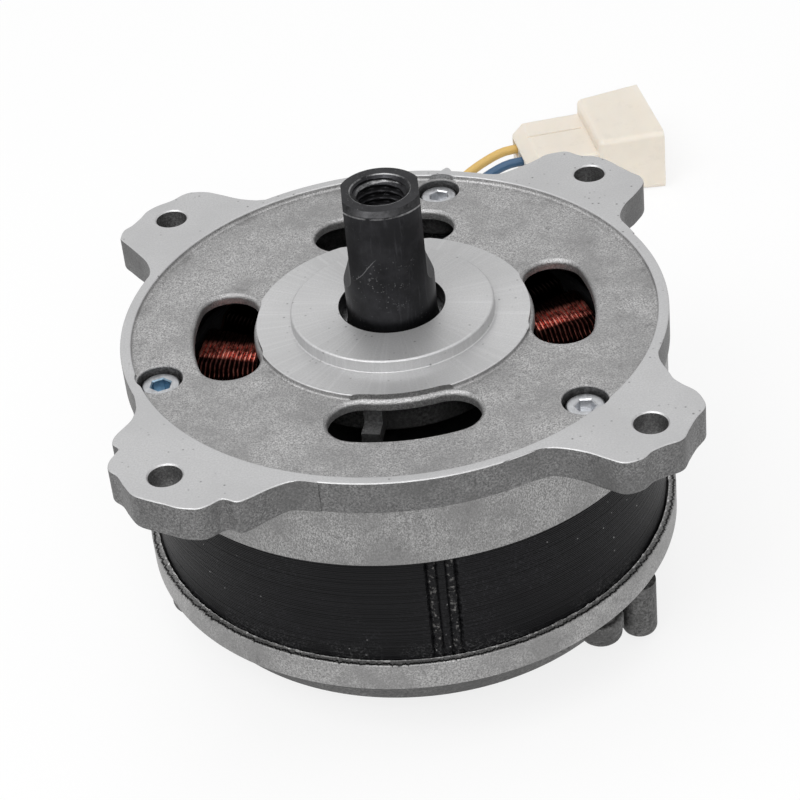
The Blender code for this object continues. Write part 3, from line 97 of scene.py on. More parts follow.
# Stator, windings and shaft
STATOR_R = 59.0 * MM
STATOR_TOP = PLANE_Z - 20.6 * MM
STATOR_H = 30.9 * MM
STATOR_BOTTOM = STATOR_TOP - STATOR_H
STATOR_BORE_R = 28.4 * MM
LAMINATION_T = 0.5 * MM
SEAM_DEPTH = 0.07 * MM
SLOT_COUNT = 12
SLOT_PITCH = 360.0 / SLOT_COUNT
FIRST_TOOTH = 15.0
TOOTH_GAP = 1.2 * MM
TOOTH_HALF_W = 3.6 * MM
SLOT_R = 50.0 * MM
COIL_R_IN = 31.4 * MM
COIL_R_OUT = 46.5 * MM
COIL_W_IN = 3.7 * MM
COIL_W_OUT = 7.3 * MM
TOOTH_CLEAR = TOOTH_HALF_W + 0.6 * MM
TURNS = 13
TURN_STEPS = 40
WIRE_R = (COIL_R_OUT - COIL_R_IN) / TURNS / 2
COIL_SEAT = 1.8 * MM
COIL_BUILD = 7.6 * MM
COIL_TOP = STATOR_TOP + COIL_SEAT + COIL_BUILD
COIL_HALF_H = STATOR_H / 2 + COIL_SEAT
# Coils whose crown shows copper; the other coils are painted near-black as shade
LIT_COILS = (0, 5)
WELD_ANGLE = 274.0
WELD_GROOVES = ((-2.9, 0.34, 0.8), (-1.0, 0.28, 0.65), (0.95, 0.30, 0.65), (2.9, 0.34, 0.8))
WELD_BEADS = (WELD_ANGLE - 1.95, WELD_ANGLE + 1.93)
SHAFT_R = 10.0 * MM
SHAFT_TOP = PLANE_Z + 32.0 * MM
FLATS_W = 16.6 * MM
FLATS_Z = PLANE_Z + 13.5 * MM
FLATS_END_R = 4.8 * MM
COLLAR_R = 12.0 * MM
COLLAR_TOP = PLANE_Z - 13.1 * MM
COLLAR_T = 3.0 * MM
SPINDLE_R = 11.0 * MM
REAR_STEP_R = 9.0 * MM
REAR_STEP_Z = 16.9 * MM
JOURNAL_R = 7.5 * MM
SHAFT_BOTTOM = 5.6 * MM
THREAD_R = 5.1 * MM
THREAD_PITCH = 1.75 * MM
THREAD_DEPTH = 28.0 * MM
THREAD_HEIGHT = 0.9 * MM
THREAD_MOUTH_R = 6.6 * MM
THREAD_STEPS = 48
THREAD_ROWS = 12
SCRATCH_Z = PLANE_Z + 17.3 * MM
SCRATCH_ANGLE = math.radians(-120.0)

# Rear cover
REAR_LIP_TOP = 26.2 * MM
REAR_LIP_R = 59.6 * MM
REAR_R = 61.3 * MM
REAR_SIDE_BOTTOM = 19.3 * MM
REAR_SHOULDER_Z = 23.6 * MM
REAR_PLATE_BOTTOM = 8.8 * MM
REAR_PLATE_TOP = 12.3 * MM
REAR_HUB_R = 20.0 * MM
REAR_SEAT_R = 17.8 * MM
REAR_SEAT_Z = 4.1 * MM
LUG_R = 6.0 * MM
LUG_TOP_R = 4.4 * MM
LUG_BOTTOM = REAR_PLATE_BOTTOM + 2.1 * MM
# Place, radius, bottom and top of each post in millimetres
POSTS = ((48.5, -29.7, 4.05, 1.5, 16.3), (39.4, -31.7, 4.9, 2.3, 12.0), (28.6, -45.8, 3.5, 13.4, 16.3))

# Leads and plug
LEAD_R = 1.35 * MM
LEAD_ANGLE = 95.0
LEAD_SPACING = 4.2 * MM
LEAD_Z = PLANE_Z - 54.6 * MM
LEAD_POINT_STEP = 2.0 * MM
GROMMET_DEPTH = 5.2 * MM
GROMMET_REACH = 2.1 * MM
LEAD_ROUTES = {
    "lead_yellow": (
        (-10.1, 72.5, 19.6), (-10.6, 81.5, 14.6), (-10.8, 91.5, 8.5), (-10.2, 102.5, 3.2),
        (-8.6, 115.5, 1.5), (-5.5, 129.0, 1.45), (-0.5, 142.5, 1.45), (6.5, 155.0, 1.45),
        (15.0, 165.0, 1.6), (22.5, 171.5, 2.9), (29.0, 175.6, 5.2), (35.5, 178.0, 7.4),
    ),
    "lead_blue": (
        (-5.9, 72.5, 19.6), (-6.3, 81.5, 14.6), (-6.4, 91.5, 8.5), (-5.6, 102.0, 3.2),
        (-4.0, 114.0, 1.5), (-1.2, 126.4, 1.45), (3.0, 138.6, 1.45), (9.0, 149.8, 1.45),
        (16.6, 158.8, 1.6), (23.8, 164.8, 2.9), (30.2, 168.6, 5.2), (36.6, 170.8, 7.4),
    ),
    "lead_green": (
        (-1.7, 72.5, 19.6), (-2.0, 81.5, 14.6), (-2.0, 91.5, 8.5), (-1.1, 101.4, 3.2),
        (0.6, 112.4, 1.5), (3.2, 123.6, 1.45), (6.8, 134.4, 1.45), (12.0, 144.4, 1.45),
        (18.8, 152.4, 1.6), (25.6, 157.8, 2.9), (31.6, 161.4, 5.2), (37.8, 163.4, 7.4),
    ),
}
TERMINALS = [name.replace("lead", "terminal") for name in LEAD_ROUTES]
PLUG_PLACE = (42.6 * MM, 171.6 * MM)
PLUG_ANGLE = 7.5
PLUG_PITCH = 7.5 * MM
PLUG_NECK_L = 20.3 * MM
PLUG_LENGTH = PLUG_NECK_L + 19.1 * MM
PLUG_NECK_HALF_W = 12.5 * MM
PLUG_MIDDLE_Z = 9.45 * MM
PLUG_WALL = 1.5 * MM
CONTACT_Z = 8.2 * MM
CRIMP_L = 9.0 * MM

# Studio
WORLD_LIGHT = 0.7
FLOOR_WHITE = 0.8
FLOOR_SIZE = 6.0
LAMPS = (
    ("key", (-0.7, -0.7, 1.3), 0.9, 8.0),
    ("front", (0.15, -1.2, 1.0), 0.7, 5.0),
    ("top", (-0.1, 0.2, 1.6), 1.0, 4.0),
)
AIM = (0.0, 0.0, 0.05)
CAMERA_LENS = 108.86
CAMERA_PLACE = (-0.00023, -0.44396, 0.37505)
CAMERA_TURN = (
    (0.99416, 0.10789, 0.00058), (-0.06308, 0.58560, -0.80814), (-0.08753, 0.80339, 0.58899),
)

# Ear outlines about each hole in millimetres, mirrored into the +X +Y quarter, from the ring
# on the far side round the outside to the ring again
EARS = {
    (-1, 1): (
        (-31.1, 6.7), (-26.5, 5.4), (-22.7, 4.0), (-17.0, 5.6), (-12.3, 8.5), (-8.5, 10.7),
        (-4.7, 11.3), (-2.4, 10.5), (0.0, 8.5), (3.7, 6.6), (6.1, 4.5), (7.5, 1.9),
        (9.4, -1.0), (11.3, -2.9), (12.0, -5.7), (11.8, -7.1), (10.3, -9.5), (7.5, -14.2),
        (5.6, -17.9), (4.7, -21.7), (4.9, -24.5), (6.4, -28.0),
    ),
    (1, 1): (
        (-31.1, 6.3), (-26.5, 5.6), (-21.7, 4.3), (-17.0, 6.1), (-12.3, 8.7), (-9.5, 10.8),
        (-6.6, 11.5), (-3.8, 11.3), (-1.0, 8.9), (2.8, 7.5), (5.6, 4.7), (7.5, 1.9),
        (9.9, -1.4), (11.8, -3.8), (11.9, -7.1), (9.4, -11.3), (6.6, -15.1), (4.9, -18.9),
        (4.7, -21.7), (5.6, -24.5), (6.8, -28.2),
    ),
    (-1, -1): (
        (-31.1, 8.0), (-26.4, 6.6), (-21.7, 8.0), (-17.0, 10.6), (-14.6, 11.3), (-12.6, 10.2),
        (-11.3, 10.0), (-9.0, 11.5), (-6.6, 12.2), (-2.9, 11.3), (0.0, 9.6), (3.7, 7.5),
        (6.6, 5.4), (8.5, 1.9), (9.9, -1.4), (11.8, -3.8), (11.9, -6.6), (10.6, -9.4),
        (10.0, -10.9), (11.3, -12.8), (10.8, -15.6), (8.0, -19.8), (7.2, -21.7), (6.6, -25.0),
        (7.3, -30.5),
    ),
    (1, -1): (
        (-31.1, 7.8), (-27.0, 6.0), (-22.7, 4.7), (-18.9, 5.3), (-14.2, 7.5), (-10.4, 10.3),
        (-7.6, 12.2), (-5.2, 12.2), (-2.9, 11.3), (-1.0, 9.4), (1.9, 8.0), (5.6, 6.6),
        (7.5, 3.3), (9.4, 0.0), (11.8, -3.3), (11.9, -6.2), (10.8, -9.5), (8.5, -12.3),
        (7.0, -14.6), (6.5, -16.5), (5.2, -21.7), (5.4, -25.4), (7.0, -29.0),
    ),
}


def turn_z(degrees):
    """Rotation about the shaft axis."""
    return Matrix.Rotation(math.radians(degrees), 4, "Z")


def shift(x, y, z=0.0):
    """Translation."""
    return Matrix.Translation((x, y, z))


def smoothed(points, spans):
    """Catmull-Rom curve through the points of an open route."""
    ends = [points[0], *points, points[-1]]
    curve = []
    for index in range(1, len(ends) - 2):
        before, start, end, after = [Vector(p) for p in ends[index - 1:index + 3]]
        for part in range(spans):
            t = part / spans
            curve.append(
                0.5 * (2 * start + (end - before) * t
                       + (2 * before - 5 * start + 4 * end - after) * t * t
                       + (3 * start - before - 3 * end + after) * t * t * t)
            )
    curve.append(Vector(points[-1]))
    return curve


def evenly_spaced(path, step):
    """Points at equal distances along a fine path, ends included."""
    lengths = [0.0]
    for start, end in zip(path, path[1:]):
        lengths.append(lengths[-1] + (end - start).length)
    count = max(2, round(lengths[-1] / step))
    points = []
    index = 0
    for number in range(count + 1):
        target = lengths[-1] * number / count
        while index < len(path) - 2 and lengths[index + 1] < target:
            index += 1
        share = (target - lengths[index]) / (lengths[index + 1] - lengths[index])
        points.append(path[index].lerp(path[index + 1], share))
    return points


def on_circle(radius, degrees, centre=(0.0, 0.0)):
    """Point at a radius and an angle about a centre."""
    angle = math.radians(degrees)
    return centre[0] + radius * math.cos(angle), centre[1] + radius * math.sin(angle)


def arc(radius, start, end, count, centre=(0.0, 0.0)):
    """Points on an arc, ends included, angles in degrees."""
    return [
        on_circle(radius, start + (end - start) * index / count, centre) for index in range(count + 1)
    ]


def circle(radius, steps, centre=(0.0, 0.0)):
    """Full circle as a closed outline."""
    return arc(radius, 0.0, 360.0 - 360.0 / steps, steps - 1, centre)


def filleted(corners, steps=3):
    """Closed outline of corners given as x, y and corner radius, with each corner rounded."""
    points = []
    for index, (x, y, radius) in enumerate(corners):
        if radius <= 0.0:
            points.append((x, y))
            continue
        here = Vector((x, y))
        back = Vector(corners[index - 1][:2]) - here
        ahead = Vector(corners[(index + 1) % len(corners)][:2]) - here
        half = back.angle(ahead) / 2
        cut = min(radius / math.tan(half), 0.48 * back.length, 0.48 * ahead.length)
        centre = here + (back.normalized() + ahead.normalized()).normalized() * cut / math.cos(half)
        first = here + back.normalized() * cut - centre
        swing = first.angle_signed(here + ahead.normalized() * cut - centre)
        for part in range(steps + 1):
            spoke = first.copy()
            spoke.rotate(Matrix.Rotation(-swing * part / steps, 2))
            points.append(tuple(centre + spoke))
    return points


def level(outline, height):
    """Flat outline at a height."""
    return [(x, y, height) for x, y in outline]


def finished(name, solid):
    """Mesh from a bmesh that is then freed, with its faces turned out."""
    bmesh.ops.recalc_face_normals(solid, faces=solid.faces)
    mesh = bpy.data.meshes.new(name)
    solid.to_mesh(mesh)
    solid.free()
    return mesh


def strip(solid, low, high):
    """Wall between two loops of vertices, either of which may stay on one point."""
    count = len(low)
    for index in range(count):
        after = (index + 1) % count
        corners = dict.fromkeys((low[index], low[after], high[after], high[index]))
        if len(corners) > 2:
            solid.faces.new(list(corners))


def loft(name, rows, around=False):
    """Mesh through rows of points, each a loop or one point, with closed ends or joined round."""
    solid = bmesh.new()
    count = max(len(row) for row in rows)
    loops = []
    for row in rows:
        verts = [solid.verts.new(point) for point in row]
        loops.append(verts if len(verts) > 1 else verts * count)
    for low, high in zip(loops, loops[1:]):
        strip(solid, low, high)
    if around:
        strip(solid, loops[-1], loops[0])
    else:
        for loop in (loops[0], loops[-1]):
            if loop[0] is not loop[1]:
                solid.faces.new(loop)
    return finished(name, solid)


def lathe(name, corners, steps, rounds=3):
    """Turned mesh from corners of radius, height and corner radius, or a ring off the axis."""
    rows = []
    for radius, height in filleted(corners, rounds):
        rows.append(level(circle(radius, steps) if radius > 0.0 else [(0.0, 0.0)], height))
    return loft(name, rows, around=corners[0][0] > 0.0)


def inset(outline, distance, free_r=0.0):
    """Closed outline moved inward, which runs anticlockwise, and less so within a radius."""
    points = []
    count = len(outline)
    for index in range(count):
        before = Vector(outline[index - 1])
        here = Vector(outline[index])
        after = Vector(outline[(index + 1) % count])
        along = (after - here).normalized() + (here - before).normalized()
        along.normalize()
        share = min(1.0, max(0.0, (here.length - free_r) / MM)) * distance
        points.append((here.x - along.y * share, here.y + along.x * share))
    return points


def edged(low, high, low_r, high_r=0.0, steps=3):
    """Positions and insets from end to end, the first edge rounded and the last where asked."""
    turns = [math.pi / 2 * part / steps for part in range(steps + 1)]
    levels = [(low + low_r * (1 - math.sin(a)), low_r * (1 - math.cos(a))) for a in reversed(turns)]
    if high_r:
        levels += [(high - high_r * (1 - math.sin(a)), high_r * (1 - math.cos(a))) for a in turns]
    else:
        levels.append((high, 0.0))
    return levels


def rounded_block(name, outline, low, high, low_r, high_r, free_r=0.0):
    """Upright block with its lower and upper edges rounded."""
    return loft(name, [
        level(inset(outline, shrink, free_r), height)
        for height, shrink in edged(low, high, low_r, high_r)
    ])


def cylinder(name, radius, low, high, steps, centre=(0.0, 0.0)):
    """Upright cylinder between two heights."""
    outline = circle(radius, steps, centre)
    return loft(name, [level(outline, low), level(outline, high)])


def box(name, low, high):
    """Box between two corners."""
    outline = ((low[0], low[1]), (high[0], low[1]), (high[0], high[1]), (low[0], high[1]))
    return loft(name, [level(outline, low[2]), level(outline, high[2])])


def moved(mesh, matrix):
    """Copy of a mesh under a transform."""
    copy = mesh.copy()
    copy.transform(matrix)
    return copy


def joined(name, meshes):
    """One mesh holding several separate bodies."""
    whole = bmesh.new()
    for mesh in meshes:
        whole.from_mesh(mesh)
    return finished(name, whole)


def linked(name, data):
    """New object in the scene."""
    thing = bpy.data.objects.new(name, data)
    bpy.context.scene.collection.objects.link(thing)
    return thing


def add_piece(name, mesh, material, nodes=(), body="housing"):
    """Add a mesh to the scene, riding on a body and standing for its CAD nodes."""
    piece = linked(name, mesh)
    mesh.materials.clear()
    mesh.materials.append(material)
    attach(piece, body)
    if nodes:
        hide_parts(*nodes)
    return piece


def apply_modifiers(piece):
    """Turn what a piece's modifiers make into its own mesh."""
    depsgraph = bpy.context.evaluated_depsgraph_get()
    result = bpy.data.meshes.new_from_object(piece.evaluated_get(depsgraph))
    piece.modifiers.clear()
    piece.data = result


def boolean(piece, mesh, operation):
    """Join a mesh to a piece or cut it out, at once."""
    other = linked("tool", mesh)
    modifier = piece.modifiers.new("combine", "BOOLEAN")
    modifier.operation = operation
    modifier.solver = "EXACT"
    modifier.object = other
    apply_modifiers(piece)
    bpy.data.objects.remove(other, do_unlink=True)


def shade(piece, degrees=35.0):
    """Smooth shading with sharp creases kept and flat faces left flat."""
    piece.data.shade_smooth()
    piece.data.set_sharp_from_angle(angle=math.radians(degrees))
    modifier = piece.modifiers.new("flatten", "WEIGHTED_NORMAL")
    modifier.keep_sharp = True
    apply_modifiers(piece)


def paint(piece, materials, surface_of):
    """Give each face the material that a rule picks by its radius, height and slope."""
    mesh = piece.data
    mesh.materials.clear()
    for material in materials:
        mesh.materials.append(material)
    for polygon in mesh.polygons:
        x, y, z = polygon.center
        polygon.material_index = materials.index(surface_of(math.hypot(x, y), z, polygon.normal.z))


def at_screws(mesh):
    """The mesh at each of the three screws."""
    places = [turn_z(angle) @ shift(SCREW_CIRCLE_R, 0.0) for angle in SCREW_ANGLES]
    return joined("at_screws", [moved(mesh, place) for place in places])


def scaled(color, factor):
    """Colour made lighter or darker."""
    return tuple(min(1.0, channel * factor) for channel in color)


class Nodes:
    """Node tree with short ways to add nodes and feed them."""

    def __init__(self, tree):
        self.tree = tree

    def set(self, socket, value):
        """Set a socket's value or link it."""
        if isinstance(value, bpy.types.NodeSocket):
            self.tree.links.new(value, socket)
        elif isinstance(value, tuple) and socket.type == "RGBA":
            socket.default_value = (*value, 1.0)
        else:
            socket.default_value = value

    def put(self, kind, *numbered, output=0, props=(), **named):
        """Add a node, feed its inputs by number or name, and return one of its outputs."""
        node = self.tree.nodes.new(kind)
        for key, value in dict(props).items():
            setattr(node, key, value)
        for index, value in enumerate(numbered):
            self.set(node.inputs[index], value)
        for key, value in named.items():
            self.set(node.inputs[key], value)
        return node.outputs[output]

    def math(self, operation, *values):
        """Arithmetic on values."""
        return self.put("ShaderNodeMath", *values, props={"operation": operation})

    def looked_at(self):
        """1 for rays that show a surface to the camera, in metal or through glass."""
        rays = self.put("ShaderNodeLightPath").node.outputs
        shown = self.math("MAXIMUM", rays["Is Camera Ray"], rays["Is Glossy Ray"])
        return self.math("MAXIMUM", shown, rays["Is Transmission Ray"])


class Surface(Nodes):
    """Principled material whose inputs are fed by procedural nodes."""

    def __init__(self, name, color, **fixed):
        self.material = bpy.data.materials.new(name)
        self.material.use_nodes = True
        super().__init__(self.material.node_tree)
        self.shader = self.tree.nodes["Principled BSDF"]
        self.place = self.put("ShaderNodeTexCoord", output=3)
        self.color = color
        self.tone = color
        self.normal = None
        for key, value in fixed.items():
            self.feed(key, value)

    def feed(self, key, value):
        """Set or link one input of the shader."""
        self.set(self.shader.inputs[key.replace("_", " ")], value)

    def noise(self, scale, detail=4.0, rough=0.6, place=None):
        """Noise of a number of features per metre."""
        return self.put(
            "ShaderNodeTexNoise", Vector=place or self.place, Scale=scale, Detail=detail, Roughness=rough
        )

    def cells(self, scale):
        """Distance from the nearest of scattered points."""
        return self.put("ShaderNodeTexVoronoi", Vector=self.place, Scale=scale)

    def vector_math(self, operation, *values):
        """Arithmetic on vectors."""
        return self.put("ShaderNodeVectorMath", *values, props={"operation": operation})

    def times(self, *values):
        """Product of masks."""
        product = values[0]
        for value in values[1:]:
            product = self.math("MULTIPLY", product, value)
        return product

    def between(self, value, low, high):
        """Share of the way from low to high, held between 0 and 1."""
        return self.put("ShaderNodeMapRange", value, low, high, 0.0, 1.0)

    def near(self, value, middle, reach):
        """Mask that fades from 1 at a value to 0 a reach away."""
        away = self.math("ABSOLUTE", self.math("SUBTRACT", value, middle))
        return self.between(away, reach, reach * 0.6)

    def vector(self, x, y, z):
        """Vector from three values."""
        return self.put("ShaderNodeCombineXYZ", x, y, z)

    def stretched(self, x, y, z):
        """The place scaled along each axis."""
        return self.vector_math("MULTIPLY", self.place, Vector((x, y, z)))

    def spoke(self):
        """Direction from the shaft axis, level, one long."""
        return self.vector_math("NORMALIZE", self.stretched(1.0, 1.0, 0.0))

    def parts(self):
        """The three coordinates of the place."""
        return tuple(self.put("ShaderNodeSeparateXYZ", self.place).node.outputs)

    def polar(self):
        """Radius, angle in radians and height about the shaft axis."""
        x, y, z = self.parts()
        radius = self.vector_math("LENGTH", self.stretched(1.0, 1.0, 0.0)).node.outputs["Value"]
        return radius, self.math("ARCTAN2", y, x), z

    def wash(self, mask, share, shade_of):
        """Lay a colour, or the own colour times a factor, over the tone so far."""
        color = shade_of if isinstance(shade_of, tuple) else scaled(self.color, shade_of)
        node = self.tree.nodes.new("ShaderNodeMix")
        node.data_type = "RGBA"
        self.set(node.inputs[0], self.times(mask, share))
        self.set(node.inputs[6], self.tone)
        self.set(node.inputs[7], color)
        self.tone = node.outputs[2]
        self.feed("Base Color", self.tone)

    def rough(self, mask, low, high):
        """Roughness that goes from low to high with a mask."""
        self.feed("Roughness", self.math("MULTIPLY_ADD", mask, high - low, low))

    def bump(self, height, strength, depth):
        """Add a layer of bump over those already there."""
        below = {} if self.normal is None else {"Normal": self.normal}
        self.normal = self.put("ShaderNodeBump", Strength=strength, Distance=depth, Height=height, **below)
        self.feed("Normal", self.normal)


def machined_metal(name, color, rough, turned=False):
    """Machined aluminium: fine grain, blotches and pits, with rings and radial streaks of painted sheen
    where it is turned.
    """
    s = Surface(name, color, Metallic=0.65 if turned else 0.8, Anisotropic=0.55 if turned else 0.0)
    grain = s.noise(2400.0, 4.0, 0.7)
    pits = s.times(s.between(s.cells(480.0), 0.17, 0.06), s.between(s.noise(120.0), 0.5, 0.56))
    s.wash(s.between(grain, 0.42, 0.58), 0.6, 0.82)
    s.wash(s.between(s.noise(55.0, 6.0, 0.65), 0.42, 0.62), 0.5, 0.84)
    s.wash(pits, 0.8, 0.22)
    s.rough(grain, rough - 0.05, rough + 0.1)
    s.bump(grain, 0.35, 0.03 * MM)
    if turned:
        radius = s.polar()[0]
        rings = s.noise(5200.0, 3.0, 0.7, s.vector(radius, 0.0, 0.0))
        # Painted sheen: radial streaks made lighter, as the shine of a turned face
        rays = s.noise(26.0, 4.0, 0.65, s.spoke())
        s.wash(s.between(rings, 0.42, 0.6), 0.4, 0.8)
        s.wash(s.between(rays, 0.5, 0.66), 0.3, 1.2)
        s.bump(rings, 0.35, 0.04 * MM)
        s.feed("Tangent", s.vector_math("CROSS_PRODUCT", Vector((0.0, 0.0, 1.0)), s.spoke()))
    return s.material


def casting(name, color, rough, grain, depth, contrast=0.7, tall=1.0):
    """Sand-grained casting with speckles, dents and stains."""
    s = Surface(name, color, Metallic=0.95)
    grains = s.noise(grain, 4.0, 0.7, s.stretched(1.0, 1.0, 1.0 / tall))
    stains = s.noise(70.0, 6.0, 0.68)
    s.wash(s.between(grains, 0.5, 0.64), contrast, 1.9)
    s.wash(s.between(grains, 0.5, 0.36), contrast, 0.3)
    s.wash(s.between(stains, 0.42, 0.62), 0.7, 0.7)
    s.wash(s.between(s.noise(210.0, 5.0, 0.7), 0.6, 0.7), 0.45, 0.35)
    s.rough(grains, rough - 0.1, rough + 0.15)
    s.bump(grains, 0.6, depth)
    s.bump(s.cells(grain * 0.4), 0.3, depth)
    return s


def rim_metal():
    """Rear rim: grained side, and a ragged upper edge painted with dark dashes of shade and bright dashes
    of highlight.
    """
    s = casting("rear_rim_metal", (0.35, 0.347, 0.345), 0.5, 2600.0, 0.08 * MM, 0.6)
    radius, _, height = s.polar()
    torn = s.noise(46.0, 5.0, 0.8, s.spoke())
    top = s.between(height, REAR_LIP_TOP - 0.5 * MM, REAR_LIP_TOP - 0.2 * MM)
    ragged = s.math("MULTIPLY_ADD", torn, 3.0 * MM, radius)
    # Painted shade: dark dashes along the outer corner of the top edge
    s.wash(s.times(top, s.near(ragged, REAR_R + 0.9 * MM, 0.32 * MM)), 0.95, 0.05)
    # Painted highlight: bright dashes along the inner edge of the top
    s.wash(s.times(top, s.near(radius, REAR_LIP_R, 0.45 * MM), s.between(torn, 0.5, 0.6)), 0.9, 2.2)
    return s.material


def black_steel():
    """Blackened steel with cloudy oxide, drawn marks, rubbed specks and one long scratch."""
    s = Surface("black_oxide", (0.022, 0.022, 0.024), Metallic=0.85)
    radius, angle, height = s.polar()
    cloud = s.noise(110.0, 6.0, 0.7)
    drawn = s.noise(900.0, 4.0, 0.7, s.stretched(1.0, 1.0, 0.12))
    worn = (0.22, 0.22, 0.225)
    s.wash(s.between(cloud, 0.42, 0.62), 0.7, 2.0)
    s.wash(s.between(drawn, 0.55, 0.75), 0.6, 3.2)
    specks = s.times(s.between(s.noise(1500.0, 3.0, 0.6), 0.62, 0.7), s.between(s.noise(75.0), 0.5, 0.6))
    s.wash(specks, 0.8, worn)
    rise = s.math("SUBTRACT", height, SCRATCH_Z)
    aside = s.times(s.math("SUBTRACT", angle, SCRATCH_ANGLE), SHAFT_R)
    across = s.math("SUBTRACT", aside, s.times(rise, 0.85))
    wander = s.times(s.math("SUBTRACT", s.noise(300.0), 0.5), 1.5 * MM)
    s.wash(s.times(
        s.near(s.math("ADD", across, wander), 0.0, 0.14 * MM), s.near(rise, 0.0, 3.4 * MM),
        s.near(angle, SCRATCH_ANGLE, 0.5),
    ), 0.8, worn)
    outer_rim = s.near(height, SHAFT_TOP - 1.4 * MM, 0.25 * MM)
    top = s.between(height, SHAFT_TOP - 0.8 * MM, SHAFT_TOP - 0.3 * MM)
    rims = s.math("MAXIMUM", outer_rim, s.times(s.near(radius, 6.55 * MM, 0.18 * MM), top))
    s.wash(s.times(rims, s.between(cloud, 0.4, 0.55)), 0.9, (0.36, 0.36, 0.365))
    s.rough(cloud, 0.3, 0.5)
    s.bump(drawn, 0.3, 0.05 * MM)
    s.bump(s.noise(2600.0, 5.0, 0.7), 0.3, 0.03 * MM)
    return s.material


def painted_laminations():
    """Varnished edges of the sheets, with fine lines, dust and torn weld beads."""
    s = Surface("stator_varnish", (0.0045, 0.0045, 0.005), Specular_IOR_Level=0.09)
    radius, angle, height = s.polar()
    sheets = s.noise(1.0, 1.0, 0.5, s.vector(0.0, 0.0, s.math("DIVIDE", height, LAMINATION_T)))
    dust = s.noise(1700.0, 4.0, 0.75)
    cloud = s.noise(42.0, 5.0, 0.65)
    s.wash(s.between(sheets, 0.45, 0.6), 0.7, 2.6)
    s.wash(s.times(s.between(dust, 0.52, 0.7), s.between(cloud, 0.44, 0.6)), 0.7, 8.0)
    low = s.between(height, STATOR_BOTTOM + 7.0 * MM, STATOR_BOTTOM)
    dirt = s.times(low, s.between(cloud, 0.45, 0.55), s.between(dust, 0.5, 0.62))
    s.wash(dirt, 0.6, (0.12, 0.12, 0.12))
    for bead in WELD_BEADS:
        line = s.near(angle, math.radians(bead - 360.0), 0.017)
        s.wash(s.times(line, s.between(s.noise(1200.0), 0.56, 0.66)), 0.8, (0.16, 0.155, 0.15))
    dots = s.times(s.between(s.cells(300.0), 0.07, 0.03), s.between(cloud, 0.5, 0.6))
    s.wash(dots, 0.8, (0.4, 0.4, 0.4))
    s.rough(dust, 0.25, 0.5)
    s.bump(dust, 0.3, 0.04 * MM)
    return s.material


def copper_wire_painted_shade(name, color):
    """Enamelled magnet wire, copper in a leaning strip across its crown and darkened to black elsewhere as
    painted shade.
    """
    s = Surface(name, color, Metallic=0.9, Specular_IOR_Level=0.1)
    x, y, z = s.parts()
    wire = s.noise(650.0, 3.0, 0.6)
    s.wash(s.between(wire, 0.5, 0.64), 0.7, 1.6)
    s.wash(s.between(wire, 0.5, 0.4), 0.85, 0.2)
    # Painted shade: outside a leaning band across the crown, and below the crown, the wire is darkened to
    # black
    lean = s.math("MULTIPLY", s.math("ABSOLUTE", x), 0.3)
    away = s.math("ABSOLUTE", s.math("ADD", s.math("SUBTRACT", y, lean), 2.4 * MM))
    s.wash(s.between(away, 2.0 * MM, 3.6 * MM), 0.97, 0.0)
    s.wash(s.between(z, COIL_TOP - 4.0 * MM, COIL_TOP - 6.5 * MM), 0.98, 0.0)
    s.rough(wire, 0.12, 0.26)
    s.bump(wire, 0.15, 0.05 * MM)
    return s.material


def plain_metal(name, color, rough, spots=0.4):
    """Plated or ground metal with a cloudy tone and fine brushing."""
    s = Surface(name, color, Metallic=1.0)
    brush = s.noise(2400.0, 4.0, 0.6, s.stretched(1.0, 0.15, 1.0))
    s.wash(s.between(s.noise(320.0, 5.0, 0.65), 0.42, 0.64), spots, 0.35)
    s.wash(s.between(brush, 0.5, 0.66), spots, 1.25)
    s.rough(brush, rough - 0.06, rough + 0.12)
    s.bump(brush, 0.2, 0.03 * MM)
    return s.material


def moulded_plastic(name, color, rough, grain, glow=0.0):
    """Moulded plastic with a fine grain, flow marks and light dirt."""
    s = Surface(name, color, Subsurface_Weight=glow, Subsurface_Scale=3.0 * MM)
    s.feed("Subsurface_Radius", Vector((1.0, 0.8, 0.6)))
    flow = s.noise(70.0, 4.0, 0.6, s.stretched(1.0, 0.4, 1.0))
    fine = s.noise(grain, 4.0, 0.7)
    s.wash(s.between(flow, 0.35, 0.65), 1.0, 0.94)
    s.wash(s.between(s.noise(170.0, 6.0, 0.7), 0.55, 0.72), 0.3, 0.72)
    s.rough(fine, rough - 0.08, rough + 0.1)
    s.bump(fine, 0.25, 0.03 * MM)
    s.bump(flow, 0.2, 0.2 * MM)
    return s.material


MACHINED = machined_metal("machined_aluminium", (0.60, 0.60, 0.605), 0.45)
TURNED = machined_metal("turned_aluminium", (0.60, 0.60, 0.604), 0.42, True)
CAST_FACE = casting("cast_face", (0.42, 0.417, 0.417), 0.5, 3000.0, 0.12 * MM, 0.65).material
# Darker copy of the cast face for the outer sides, painted shade
CAST_SIDE_SHADED = casting("cast_side_painted_shade", (0.20, 0.199, 0.199), 0.55, 2300.0, 0.15 * MM).material
SKIRT_METAL = casting("turned_skirt", (0.31, 0.308, 0.306), 0.45, 3600.0, 0.08 * MM, 0.75, 1.6).material
# Dark copy of the casting for faces inside the covers, painted shade
CAST_INSIDE_SHADE = casting("cast_inside_painted_shade", (0.14, 0.14, 0.141), 0.55, 1500.0, 0.2 * MM).material
# Near-black copy of the casting for the bore beside the shaft, painted shade
BORE_SHADE = casting("bore_painted_shade", (0.03, 0.03, 0.03), 0.5, 1500.0, 0.1 * MM).material
REAR_CAST = casting("rear_cast", (0.13, 0.129, 0.128), 0.55, 1500.0, 0.2 * MM).material
REAR_RING = rim_metal()
SHAFT_BLACK = black_steel()
SHAFT_WORN = plain_metal("worn_steel", (0.05, 0.05, 0.052), 0.36, 0.8)
VARNISH = painted_laminations()
